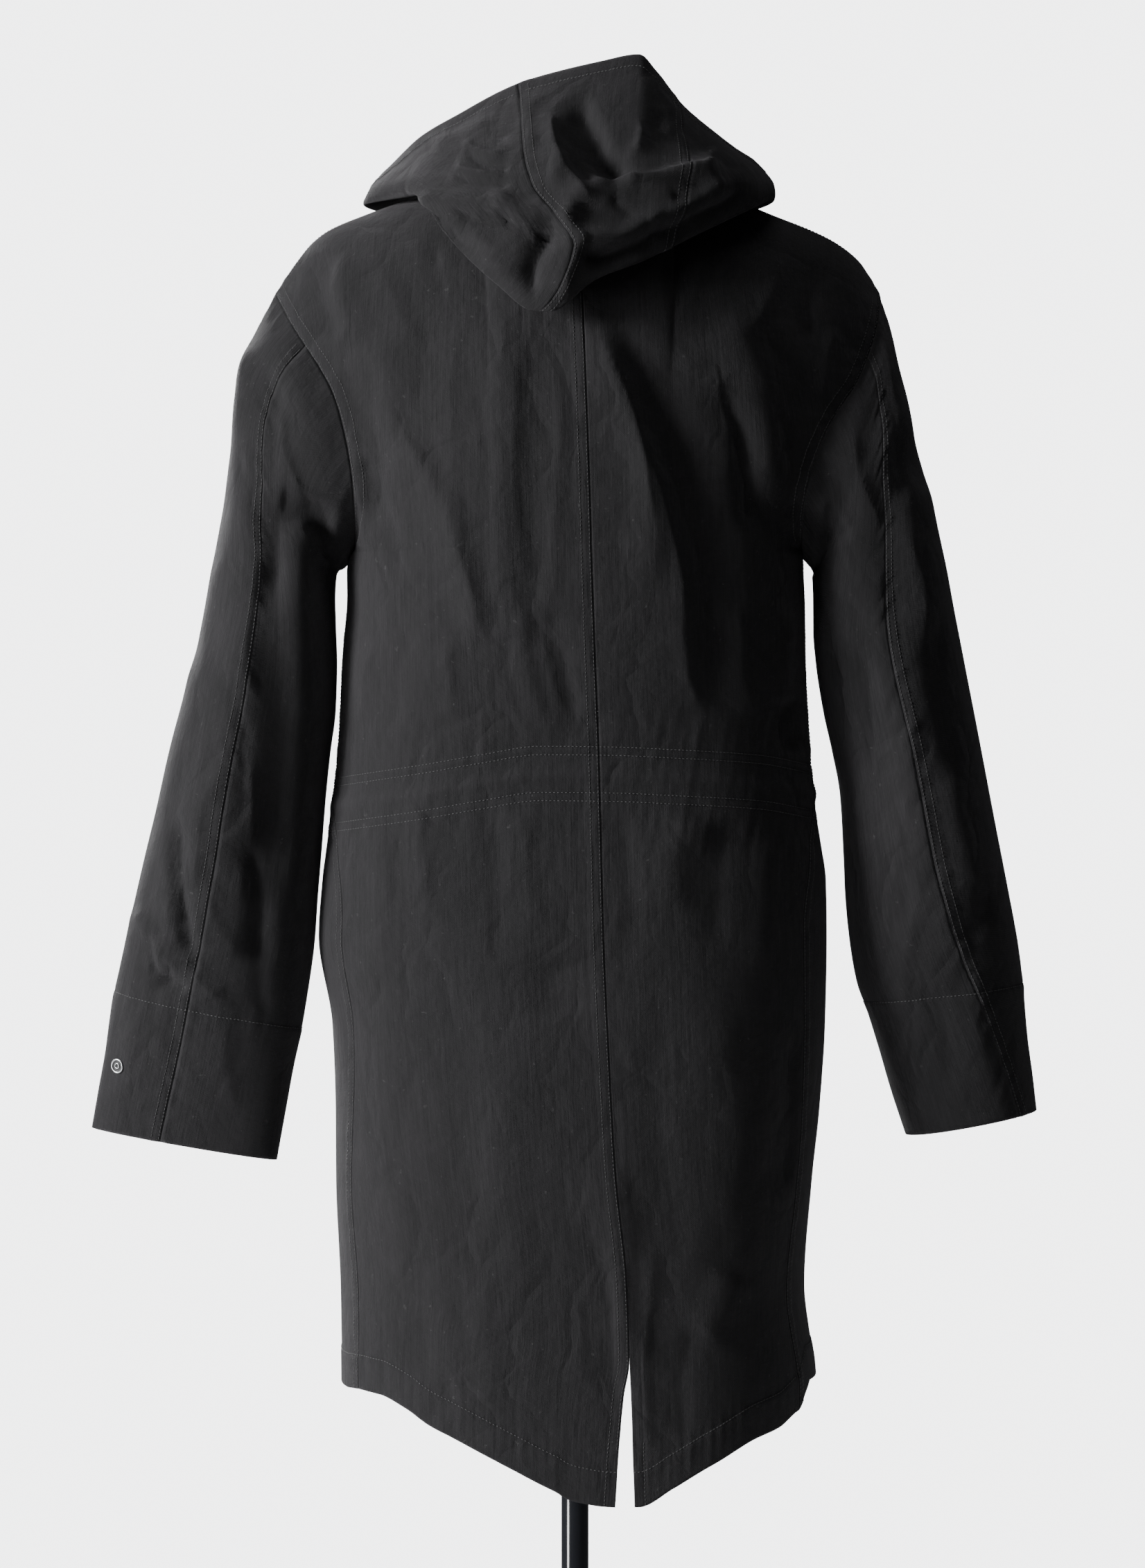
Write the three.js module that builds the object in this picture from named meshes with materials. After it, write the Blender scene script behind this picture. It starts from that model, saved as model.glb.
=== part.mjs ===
// A black cotton fishtail parka, hood down, on a limbless dress form with a pole and a round base.
// Millimetres, +Z up. The base stands on z = 0 with its centre at the origin. The parka faces -Y,
// its back faces +Y, and the wearer's left is +X.
import * as THREE from 'three';

// Driving sizes
const CLOTH = 1.8;             // thickness of the cloth wall
const CLOTH_AT_SEAM = 1;       // the wall thins here, where two pieces turn against each other
const SEAM_GAP = 0.3;          // parting between two pieces at a seam
const SQUARENESS = 2.4;        // 2 is an ellipse, more is a squarer ring round the body
const SHOULDER_ROUND = 2.4;    // how squarely the back and front turn over the shoulder
const DRIFT = 1.2;             // how late the upper body moves in or out to its top edge
const LEAST_LEAN = 0.05;       // keeps the turn over the shoulder tip from closing up
const CLIMB_START = 2.3;       // how slowly the rows leave the chest at the middle
const CLIMB_END = 1.4;         // and how slowly they reach the top edge
const SLEEVE_SQUARENESS = 2.15;
const HEAD_ROWS = 4;           // rows over which the sleeve leaves the armhole's own shape
const UNDERARM_Z = 1167;       // height of the bottom of the armholes
const NECK_HALF_WIDTH = 75;
const NECK_POINT_Z = 1474;     // where the shoulder seam meets the neckline
const NECK_BACK = { depth: 66, drop: 19 };
const NECK_FRONT = { depth: -72, drop: 78 };
const SHOULDER_TIP_Y = 5;      // the shoulder seam runs slightly backwards to its tip
const FRONT_ARMHOLE = 0.95;    // the front half of an armhole is this much as deep as the back half
const TUNNEL_Z = 991;          // height of the drawcord tunnel at the centre back
const TUNNEL_RISE = 2.2;       // how far the cord lifts the cloth
const HEM_LEVEL = 506;         // height of the hem at the side seams
const HEM_FADE_TOP = 860;      // above this the rows no longer follow the fishtail
const FLAP_WIDTH = 60;         // storm flap over the front closure
const FLAP_SHORT = 0.5;        // the flap stops this share of a row below the neckline
const FLAP_LIFT = 2.4;         // underside of the flap above the fronts' outer face

// A row count for each way across the pieces. The armhole's rows also divide the sleeve head.
const BODY_COLUMNS = 12;
const NECK_COLUMNS = 4;        // of those, the columns that end at the neckline
const ARMHOLE_STEPS = 12;      // from shoulder tip to underarm, back and front alike
const BODY_LEVELS = [506, 552, 604, 660, 720, 782, 842, 896, 942, 974, 991, 1008, 1044, 1086, 1128, 1167];
const HOOD_COLUMNS = 64;
const HOOD_ROWS = 15;

const BLACK_COTTON = { color: 0x232225, roughness: 0.82, metalness: 0 };
const FORM_JERSEY = { color: 0x1c1c1e, roughness: 0.9, metalness: 0 };
const BLACK_GLOSS = { color: 0x0c0d10, roughness: 0.22, metalness: 0 };
const GUN_METAL = { color: 0x8d8f92, roughness: 0.3, metalness: 1 };

function table(columns, rows) {
  const names = columns.split(' ');
  return rows.map((row) => Object.fromEntries(names.map((name, i) => [name, row[i]])));
}

// Outline of the body seen from the front or back (left and right edge from the pole) and from the
// side (back and front depth), from the tail of the back up to the underarm.
const BODY = table('z left right back front', [
  [425, 186, 193, 139, 128],
  [504, 187.6, 193.8, 138, 128],
  [582, 189, 185, 135, 127],
  [666, 192.6, 191, 133, 126],
  [722, 193, 197, 132, 125],
  [790, 195.5, 201.6, 133, 125],
  [862, 206.6, 203, 133, 125],
  [904, 204, 202.5, 130, 122],
  [946, 199, 196.6, 124, 118],
  [988, 193, 191, 119, 114],
  [1030, 190, 188.5, 123, 117],
  [1086, 187.5, 186, 131, 124],
  [1128, 183.5, 185.4, 135, 128],
  [1167, 179, 183.5, 137, 130],
]);

// The shoulder seam falls from the neck point to the tip where the sleeve is set in.
const SHOULDER = table('part left right z', [
  [0, 75, 75, 1474],
  [0.27, 122, 119, 1459],
  [0.54, 169, 159, 1443],
  [0.72, 198, 190, 1431],
  [0.82, 211.5, 210, 1421],
  [0.91, 224, 229, 1406],
  [1, 241.6, 245.8, 1380],
]);

// Back half of each armhole, from the shoulder tip (part 0) to the underarm (part 1).
const ARMHOLE_LEFT = table('part x y z', [
  [0, 241.6, 5, 1380],
  [0.16, 226, 40, 1351],
  [0.25, 214, 57, 1332],
  [0.34, 200.4, 70, 1311],
  [0.425, 189.7, 79, 1290],
  [0.515, 182, 85, 1264],
  [0.605, 176.8, 85, 1237],
  [0.68, 174.5, 80, 1215],
  [0.78, 174, 62, 1190],
  [0.88, 176, 35, 1174],
  [1, 179, 0, 1167],
]);
const ARMHOLE_RIGHT = table('part x y z', [
  [0, 245.8, 5, 1380],
  [0.14, 241, 33, 1350],
  [0.33, 224, 58, 1304],
  [0.47, 203, 74, 1272],
  [0.58, 189.5, 83, 1243],
  [0.67, 183, 83, 1220],
  [0.78, 179.5, 66, 1193],
  [0.88, 181, 35, 1175],
  [1, 183.5, 0, 1167],
]);

// Each sleeve hangs through rings. A ring runs from its outer edge to its inner edge and is deep
// front to back; rings fan out from the armhole to the cuff.
const SLEEVE_LEFT = table('outerX outerZ innerX innerZ depth centreY', [
  [241.6, 1380, 179, 1167, 85, 0],
  [254.5, 1356, 188.5, 1157, 88, 0],
  [267.3, 1328, 191.5, 1156, 88, 0],
  [271.6, 1293, 193, 1151, 87, 2],
  [273.5, 1258, 193.8, 1134, 86, 3],
  [280.5, 1216, 193, 1108, 84, 5],
  [289, 1174, 192, 1080, 82, 6],
  [299.5, 1112, 193, 1043, 79, 8],
  [310, 1066, 197, 1010, 76, 10],
  [323, 1020, 200.5, 975, 72, 11],
  [337.5, 960, 204, 930, 68, 12],
  [348, 917, 207, 893, 63, 12],
  [357, 878, 209.5, 857, 58, 12],
  [366.5, 836, 214.5, 820, 52, 11],
  [374, 797, 220.5, 786, 44, 9],
  [378, 769, 227, 757, 37, 7],
  [383.5, 740, 233.5, 722, 30, 5],
  [389.5, 707, 241, 681, 24, 3],
]);
const SLEEVE_RIGHT = table('outerX outerZ innerX innerZ depth centreY', [
  [245.8, 1380, 183.5, 1167, 85, 0],
  [253.5, 1356, 193, 1155.5, 88, 0],
  [260, 1328, 194, 1152, 88, 0],
  [267, 1298, 192, 1150, 87, 2],
  [273, 1263, 192.5, 1134, 86, 3],
  [285, 1218, 192.5, 1108, 84, 5],
  [296, 1169, 194.5, 1080, 82, 6],
  [307, 1114, 200, 1043, 79, 8],
  [315, 1072, 207, 1010, 76, 10],
  [323, 1030, 213, 975, 73, 12],
  [337.5, 953, 215.5, 930, 70, 14],
  [347.5, 902, 217.5, 893, 66, 14],
  [356, 856, 221.5, 854, 62, 14],
  [359.5, 829, 227.5, 822, 58, 13],
  [361.5, 803, 236, 800, 55, 12],
  [364, 778, 245, 772, 53, 10],
  [368, 750, 255, 738, 51, 8],
  [371.4, 722, 267, 702, 49, 6],
]);

// Turn of the felled back seam round the sleeve, in degrees from its outer edge to the back.
const BACK_SEAM_LEFT = table('part turn', [[0, 45], [0.22, 66], [0.4, 82], [0.6, 84], [0.8, 82], [1, 78]]);
const BACK_SEAM_RIGHT = table('part turn', [[0, 45], [0.22, 72], [0.4, 93], [0.6, 88], [0.8, 70], [1, 50]]);
const UNDER_SEAM_TURN = 210;   // the other sleeve seam, just in front of the inner edge

// Centre back seam and the two edges of the vent below it, measured from the pole.
const CENTRE_BACK = table('z seam', [
  [424, -43], [480, -43], [537, -42], [598, -40], [678, -32], [786, -26], [865, -22.5], [950, -20.4],
  [1015, -18.7], [1082, -16], [1167, -13], [1266, -9.5], [1351, -5.3], [1455, -2],
]);
const VENT = table('z left right', [[424, 12, -3], [470, 9, -1.5], [510, 5, -0.5], [537, 0, 0], [560, 0, 0]]);

// Turn of the side seams from the centre back, in degrees.
const SIDE_SEAM = table('z turn', [
  [420, 63], [504, 63], [582, 62], [666, 64], [780, 61], [872, 60], [936, 68], [975, 80], [1007, 88],
  [1100, 90], [1167, 90],
]);

// Hem of the back below or above the hem level, against the distance from the pole.
const HEM_BACK = table('x drop', [
  [-190, -14], [-176, -17], [-160, -27], [-139, -34], [-112, -48], [-96, -56], [-74, -68], [-46, -81.5],
  [-31, -80.5], [10, -67], [45, -51.4], [67, -41.3], [93, -29.3], [112, -21], [131, -9.5], [153, -1], [190, 1],
]);
// Hem of the fronts, from the front edge (part 0) to the side seam (part 1).
const HEM_FRONT = table('part left right', [[0, 8, 8], [0.6, 0, 5], [1, -2, 4]]);
const HEM_STEP = 0.92;         // past this part the front's hem steps to meet the back's

// The drawcord tunnel hangs lower towards the sides.
const TUNNEL_DROP = table('x drop', [
  [-190, -14], [-143, -6], [-75, -2], [-27, 0], [27, 0.5], [73, -6], [120, -14], [190, -24],
]);
const TUNNEL_REACH = 55;       // rows this far from the tunnel follow its fall

// Largest folds of the back, as seen from behind: a line from one place to another, bowed
// sideways, with a width and a rise out of the cloth (a negative rise is a trough).
const BACK_FOLDS = table('x1 z1 x2 z2 bow width rise', [
  [200, 1404, 193, 1340, 4, 12, -6],
  [186, 1400, 178, 1330, 3, 14, 4],
  [165, 1310, 160, 1190, -5, 17, -7],
  [144, 1335, 172, 1140, 10, 22, 5],
  [128, 1252, 74, 1106, -8, 13, 5],
  [60, 1340, 52, 1110, 6, 24, 4],
  [30, 1330, 36, 1120, -4, 20, -3],
  [18, 1112, 8, 1034, 2, 16, -5],
  [-16, 1340, -62, 1150, -12, 15, 5],
  [-38, 1330, -116, 1068, -14, 20, -6],
  [-125, 1346, -158, 1218, -6, 18, 6],
  [-116, 1288, -144, 1192, -4, 11, -5],
  [-165, 1050, -172, 1012, 3, 14, -5],
  [-92, 958, -70, 890, 4, 20, 4],
  [16, 846, 14, 804, 2, 22, -4],
  [-184, 780, -172, 670, -6, 20, -5],
  [-126, 596, -103, 552, 3, 16, 4],
  [-32, 680, -42, 545, 2, 18, 4],
]);

// The hood lies back. From the right front edge (share -1) round the back (0) to the left front edge
// (1): the fold it rests on, the bulge above, and its rim.
const HOOD_FOLD = table('share x y z', [
  [-1, -8, -92, 1406], [-0.8, -62, -94, 1430], [-0.65, -118, -64, 1448], [-0.5, -157, -6, 1455],
  [-0.4, -146, 56, 1444], [-0.25, -95, 106, 1413], [-0.12, -53, 128, 1390], [-0.05, -16.5, 142, 1374],
  [0.03, 17, 150, 1349], [0.1, 34.5, 147, 1350], [0.18, 60, 138, 1370], [0.27, 84, 124, 1393],
  [0.36, 103.5, 106, 1417], [0.43, 124, 60, 1451], [0.5, 168, 0, 1452], [0.65, 128, -66, 1449],
  [0.8, 66, -94, 1430], [1, 8, -92, 1406],
]);
const HOOD_BULGE = table('share x y z', [
  [-1, -11, -96, 1416], [-0.8, -68, -100, 1446], [-0.65, -124, -70, 1463], [-0.5, -161, -6, 1469],
  [-0.4, -150, 52, 1466], [-0.25, -112, 103, 1464], [-0.12, -62, 121, 1460], [0, -8, 133, 1450],
  [0.1, 34, 130, 1448], [0.2, 66, 118, 1453], [0.3, 96, 97, 1458], [0.4, 128, 64, 1463],
  [0.5, 167, 0, 1463], [0.65, 132, -70, 1463], [0.8, 70, -100, 1446], [1, 11, -96, 1416],
]);
const HOOD_RIM = table('share x y z', [
  [-1, -8, -92, 1425], [-0.8, -58, -88, 1461], [-0.65, -108, -58, 1478], [-0.5, -147, -10, 1486],
  [-0.4, -131, 20, 1493], [-0.3, -110, 30, 1507], [-0.2, -86, 38, 1526], [-0.12, -64, 43, 1553],
  [-0.08, -51, 46, 1565], [0, -20, 48, 1559], [0.12, 43, 44, 1543], [0.25, 96, 32, 1518],
  [0.37, 123, 16, 1505], [0.46, 149, 2, 1483], [0.5, 157, -4, 1476], [0.65, 120, -60, 1470],
  [0.8, 62, -88, 1457], [1, 8, -92, 1425],
]);

// Largest folds of the hood's outer face as seen from behind: the pinch at the middle, the two
// lapped rolls that meet in a V and the hollows under them.
const HOOD_FOLDS = table('x1 z1 x2 z2 bow width rise', [
  [124, 1444, 20, 1434, 2, 12, 5],
  [30, 1436, -10, 1404, 4, 11, 5],
  [116, 1428, 16, 1410, 3, 12, -6],
  [-5, 1522, -35, 1460, 7, 15, -11],
  [-38, 1458, -108, 1470, 5, 12, 7],
  [-42, 1447, -108, 1448, -4, 12, -5],
  [6, 1490, 20, 1448, -4, 13, 5],
  [-10, 1406, -116, 1456, 4, 12, 5],
  [-6, 1390, -132, 1450, 5, 11, -6],
  [9, 1421, 35, 1364, 5, 11, -6],
]);
const HOOD_OUTSIDE = { start: 0.56, end: 0.68 };   // share of the way up where the outer face starts
const HOOD_SEAMS = [26, 36];   // columns where the centre strip starts and ends
const HOOD_START = 0.022;      // share of the neckline left free beside each front edge
const UNDER_PUSH = 7.5;        // keeps the hood's hidden under layer clear of the back and shoulders
const HOOD_STAND = 22;         // the hood first stands up from the neck seam by this much
const HOOD_SPREAD = 1.1;       // and widens by this much on the way

// Dress form: smooth rings, half width and depths, from its flat underside to the top of the neck.
const FORM = table('z left right back front square', [
  [752, 150, 150, 92, 88, 2.2],
  [770, 166, 166, 104, 98, 2.2],
  [860, 168, 168, 108, 100, 2.2],
  [985, 140, 140, 92, 88, 2.2],
  [1100, 156, 156, 104, 102, 2.2],
  [1210, 161, 161, 108, 106, 2.2],
  [1300, 168, 168, 104, 94, 2.2],
  [1360, 177, 176, 90, 78, 2.1],
  [1400, 179, 178, 76, 66, 2],
  [1420, 176, 174, 68, 52, 1.8],
  [1432, 177, 171, 62, 46, 1.5],
  [1441, 167, 157, 56, 43, 1.25],
  [1450, 143, 137, 52, 41, 1.05],
  [1457, 121, 117, 50, 40, 0.9],
  [1463, 99, 96, 49, 40, 0.85],
  [1469, 73, 71, 49, 42, 1.1],
  [1478, 57, 56, 49, 44, 1.7],
  [1500, 52, 52, 50, 50, 2],
  [1524, 51, 51, 50, 50, 2],
]);
const FORM_SIDES = 28;
const NECK_CAP = { radius: 53, rim: 8, height: 15 };
const POLE_RADIUS = 11;
const COLLAR = { radius: 24, height: 26 };
const BASE = { radius: 170, height: 12, bevel: 3 };
const SNAP = {
  radius: 6, rim: 5.2, height: 1.6, socket: 3.4, socketDepth: 0.9, hole: 2.1,
  lift: 0.25, row: 15.3, turnLeft: 37, turnRight: -35,
};

// The fronts hang with a few soft folds from the chest and above the tunnel.
const FRONT_FOLDS = table('x1 z1 x2 z2 bow width rise', [
  [150, 1330, 132, 1150, 6, 20, 5],
  [-148, 1340, -128, 1140, -8, 20, 5],
  [84, 1120, 74, 1012, 3, 20, -4],
  [-92, 1110, -84, 1020, -4, 18, -4],
  [112, 930, 96, 760, 6, 24, 5],
  [-108, 920, -118, 740, -5, 24, 5],
]);

// Large folds of each sleeve, placed as for the back. The deep one runs down inside the seam.
const SLEEVE_LEFT_FOLDS = table('x1 z1 x2 z2 bow width rise', [
  [264, 1330, 250, 1170, 6, 15, 7],
  [238, 1310, 224, 1180, -4, 16, -7],
  [230, 1210, 190, 1195, 4, 13, -6],
  [236, 1180, 238, 900, -5, 20, -9],
  [262, 1100, 276, 940, 3, 16, 4],
  [300, 1080, 308, 946, 2, 20, 4],
  [343, 872, 322, 838, 4, 12, -5],
]);
const SLEEVE_RIGHT_FOLDS = table('x1 z1 x2 z2 bow width rise', [
  [-228, 1376, -260, 1254, -6, 13, 6],
  [-240, 1316, -250, 1120, 4, 18, -7],
  [-272, 1220, -282, 1110, -3, 16, 5],
  [-196, 1236, -214, 1180, 3, 12, -5],
  [-232, 1090, -246, 900, 4, 20, -6],
]);

const degrees = (turn) => turn * Math.PI / 180;
const mix = (a, b, t) => a + (b - a) * t;
const clamp01 = (t) => Math.min(1, Math.max(0, t));
const signedPower = (value, power) => Math.sign(value) * Math.abs(value) ** power;

// Reads one column of a table at a place between its rows, as a smooth curve through them that
// never swings past a row.
function read(rows, key, place, column) {
  const last = rows.length - 1;
  const at = Math.min(Math.max(place, rows[0][key]), rows[last][key]);
  let i = 0;
  while (i < last - 1 && at > rows[i + 1][key]) i += 1;
  const slope = (a) => (rows[a + 1][column] - rows[a][column]) / (rows[a + 1][key] - rows[a][key]);
  const between = (a, b) => (a * b > 0 ? 2 * a * b / (a + b) : 0);
  const span = rows[i + 1][key] - rows[i][key];
  const startSlope = (i > 0 ? between(slope(i - 1), slope(i)) : slope(i)) * span;
  const endSlope = (i + 1 < last ? between(slope(i), slope(i + 1)) : slope(i)) * span;
  const t = (at - rows[i][key]) / span;
  const start = rows[i][column];
  const end = rows[i + 1][column];
  const curve = (2 * start - 2 * end + startSlope + endSlope) * t + 3 * (end - start) - 2 * startSlope - endSlope;
  return (curve * t + startSlope) * t + start;
}

// A point of the body's ring at a height, turned from the centre back towards the wearer's left.
function ringPoint(turn, z) {
  const left = read(BODY, 'z', z, 'left');
  const right = read(BODY, 'z', z, 'right');
  const depth = Math.cos(turn) > 0 ? read(BODY, 'z', z, 'back') : read(BODY, 'z', z, 'front');
  const x = (left - right) / 2 + (left + right) / 2 * signedPower(Math.sin(turn), 2 / SQUARENESS);
  return new THREE.Vector3(x, depth * signedPower(Math.cos(turn), 2 / SQUARENESS), z);
}

function turnOf(x, z) {
  const left = read(BODY, 'z', z, 'left');
  const right = read(BODY, 'z', z, 'right');
  const share = (x - (left - right) / 2) / ((left + right) / 2);
  return Math.asin(signedPower(share, SQUARENESS / 2));
}

// Turn of a panel's two long edges at a height: the middle edge and the side seam.
function panelEdges(panel, z, open = 1) {
  const side = degrees(read(SIDE_SEAM, 'z', z, 'turn')) * panel.side;
  if (panel.front) return [Math.PI * panel.side, side];
  const opening = read(VENT, 'z', z, panel.side > 0 ? 'left' : 'right') * open;
  return [turnOf(read(CENTRE_BACK, 'z', z, 'seam') + opening, z), side];
}

// Shape of one fold across and along its line, at a place seen from behind or from the front.
function foldHeight(folds, x, z) {
  let height = 0;
  for (const fold of folds) {
    const length = Math.hypot(fold.x2 - fold.x1, fold.z2 - fold.z1);
    const alongX = (fold.x2 - fold.x1) / length;
    const alongZ = (fold.z2 - fold.z1) / length;
    const along = ((x - fold.x1) * alongX + (z - fold.z1) * alongZ) / length;
    const across = (z - fold.z1) * alongX - (x - fold.x1) * alongZ - fold.bow * 4 * along * (1 - along);
    const ends = clamp01(along * 4 + 0.5) * clamp01((1 - along) * 4 + 0.5);
    height += fold.rise * Math.exp(-((across / fold.width) ** 2)) * ends * ends * (3 - 2 * ends);
  }
  return height;
}

// The drawcord lifts the cloth in one soft ridge round the waist.
function tunnelHeight(x, z) {
  const from = z - TUNNEL_Z - read(TUNNEL_DROP, 'x', x, 'drop');
  return TUNNEL_RISE * Math.exp(-((from / 8) ** 2));
}

// Lower body: rows follow the hem at the bottom and the tunnel's fall at the waist.
function lowerPoint(panel, u, level) {
  const hemTurn = mix(...panelEdges(panel, HEM_LEVEL, 0), u);
  const hemX = ringPoint(hemTurn, HEM_LEVEL).x;
  const backHem = read(HEM_BACK, 'x', hemX, 'drop');
  const frontHem = read(HEM_FRONT, 'part', u, panel.side > 0 ? 'left' : 'right');
  const hem = panel.front ? mix(frontHem, backHem, clamp01((u - HEM_STEP) / (1 - HEM_STEP))) : backHem;
  const follow = clamp01((HEM_FADE_TOP - level) / (HEM_FADE_TOP - HEM_LEVEL));
  const waist = Math.exp(-(((level - TUNNEL_Z) / TUNNEL_REACH) ** 2));
  const fall = read(TUNNEL_DROP, 'x', hemX, 'drop');
  const z = level + hem * follow + fall * waist;
  return ringPoint(mix(...panelEdges(panel, z), u), z);
}

// Where a panel's top edge runs: the neckline first, then the shoulder seam.
function topPoint(panel, u) {
  const neckShare = NECK_COLUMNS / panel.columns;
  if (u <= neckShare) {
    const turn = u / neckShare * Math.PI / 2;
    const middleX = panel.front ? 0 : read(CENTRE_BACK, 'z', 1455, 'seam');
    const neck = panel.front ? NECK_FRONT : NECK_BACK;
    const x = mix(middleX, NECK_HALF_WIDTH * panel.side, Math.sin(turn));
    return new THREE.Vector3(x, neck.depth * Math.cos(turn), NECK_POINT_Z - neck.drop * Math.cos(turn) ** 1.5);
  }
  const part = (u - neckShare) / (1 - neckShare);
  const x = read(SHOULDER, 'part', part, panel.side > 0 ? 'left' : 'right') * panel.side;
  return new THREE.Vector3(x, SHOULDER_TIP_Y * part, read(SHOULDER, 'part', part, 'z'));
}

// A point of the armhole seam from the shoulder tip, round the back or the front, to the underarm.
function armholePoint(side, part, front) {
  const rows = side > 0 ? ARMHOLE_LEFT : ARMHOLE_RIGHT;
  const x = read(rows, 'part', part, 'x') * side;
  const y = read(rows, 'part', part, 'y');
  const frontY = mix(SHOULDER_TIP_Y, -y * FRONT_ARMHOLE, clamp01(part * 8));
  return new THREE.Vector3(x, front ? frontY : y, read(rows, 'part', part, 'z'));
}

// Upper body: the wall turns over from the chest to the top edge. Each row spans only as much of
// the chest's ring as reaches the armhole's depth there, and keeps to the armhole's height at its
// outer end, so that the cloth runs smoothly into the armhole seam.
function upperPoint(panel, u, v) {
  const armhole = armholePoint(panel.side, 1 - v, panel.front);
  const tip = armholePoint(panel.side, 0, panel.front);
  const leanAt = (rise) => Math.max(1 - rise ** SHOULDER_ROUND, 0) ** (1 / SHOULDER_ROUND);
  const edgeRise = (armhole.z - UNDERARM_Z) / (tip.z - UNDERARM_Z);
  const edgeLean = Math.max(leanAt(edgeRise), LEAST_LEAN);
  const depth = read(BODY, 'z', UNDERARM_Z, panel.front ? 'front' : 'back');
  const reach = (armhole.y - SHOULDER_TIP_Y * (1 - edgeLean)) / edgeLean * (panel.front ? -1 : 1);
  const fromMiddle = Math.acos(clamp01(reach / depth) ** (SQUARENESS / 2));
  const edgeTurn = panel.side * (panel.front ? Math.PI - fromMiddle : fromMiddle);
  const [middleTurn] = panelEdges(panel, UNDERARM_Z);
  const climb = v ** CLIMB_START / (v ** CLIMB_START + (1 - v) ** CLIMB_END) * Math.PI / 2;
  const middleRise = Math.sin(climb) ** (2 / SHOULDER_ROUND);
  const turnOver = (share) => {
    const bottom = ringPoint(mix(middleTurn, edgeTurn, share), UNDERARM_Z);
    const top = topPoint(panel, share);
    const rise = mix(middleRise, edgeRise, share ** 1.5);
    const x = mix(bottom.x, top.x, rise ** DRIFT);
    return new THREE.Vector3(x, mix(top.y, bottom.y, leanAt(rise)), mix(bottom.z, top.z, rise));
  };
  return turnOver(u).addScaledVector(armhole.sub(turnOver(1)), u ** 3);
}

const PANEL_ROWS = BODY_LEVELS.length - 1 + ARMHOLE_STEPS;

function panelPoint(panel, u, row) {
  const lowerRows = BODY_LEVELS.length - 1;
  if (row > lowerRows) return upperPoint(panel, u, (row - lowerRows) / ARMHOLE_STEPS);
  const i = Math.min(Math.floor(row), lowerRows - 1);
  return lowerPoint(panel, u, mix(BODY_LEVELS[i], BODY_LEVELS[i + 1], row - i));
}

// The armhole loop is the sleeve's first ring, by its turn from the shoulder tip over the back.
function loopPoint(side, turn) {
  const front = turn < 0 || turn > 180;
  const part = front ? Math.abs(turn > 180 ? turn - 360 : turn) / 180 : turn / 180;
  return armholePoint(side, part, front);
}

function sleevePoint(sleeve, turn, row) {
  const ringAt = (ring) => {
    const value = (column) => read(sleeve.rings, 'row', ring, column);
    const across = signedPower(Math.cos(degrees(turn)), 2 / SLEEVE_SQUARENESS);
    const deep = signedPower(Math.sin(degrees(turn)), 2 / SLEEVE_SQUARENESS);
    const x = mix(value('innerX'), value('outerX'), 0.5 + across / 2) * sleeve.side;
    const z = mix(value('innerZ'), value('outerZ'), 0.5 + across / 2);
    return new THREE.Vector3(x, value('centreY') + value('depth') * deep, z);
  };
  const head = clamp01(1 - row / HEAD_ROWS) ** 2;
  const shift = loopPoint(sleeve.side, turn).sub(ringAt(0));
  return ringAt(row).addScaledVector(shift, head);
}

// Grids of points. A grid holds its rows of points, its normals and how it is finished.
function grid(columns, rows, pointAt) {
  return Array.from({ length: rows + 1 }, (_, j) =>
    Array.from({ length: columns + 1 }, (_, i) => pointAt(i, j)));
}

// Normals of a grid, one for each point, from the facets around it, pointing out of the cloth.
function gridNormals(points, flip) {
  return points.map((line, j) => line.map((point, i) => {
    const normal = new THREE.Vector3();
    for (const [across, up] of [[1, 1], [-1, 1], [-1, -1], [1, -1]]) {
      if (!line[i + across] || !points[j + up]) continue;
      const facet = line[i + across].clone().sub(point).cross(points[j + up][i].clone().sub(point));
      normal.addScaledVector(facet.normalize(), across * up);
    }
    return normal.multiplyScalar(flip ? -1 : 1).normalize();
  }));
}

// Points of two pieces are the same place when they round to the same key. The small offset keeps
// the sizes written in this file away from the rounding's edges.
const KEY_OFFSET = 0.0137;
const placeKey = (point) => ['x', 'y', 'z'].map((axis) => (point[axis] + KEY_OFFSET).toFixed(1)).join(' ');

function onBorder(points, i, j) {
  return i === 0 || j === 0 || i === points[0].length - 1 || j === points.length - 1;
}

// Unit direction from a border point of a grid into its own piece.
function inwardFrom(points, i, j) {
  const point = points[j][i];
  const columns = points[0].length - 1;
  const rows = points.length - 1;
  const inward = new THREE.Vector3();
  if (i === 0) inward.add(points[j][1].clone().sub(point).normalize());
  if (i === columns) inward.add(points[j][columns - 1].clone().sub(point).normalize());
  if (j === 0) inward.add(points[1][i].clone().sub(point).normalize());
  if (j === rows) inward.add(points[rows - 1][i].clone().sub(point).normalize());
  return inward.normalize();
}

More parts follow.
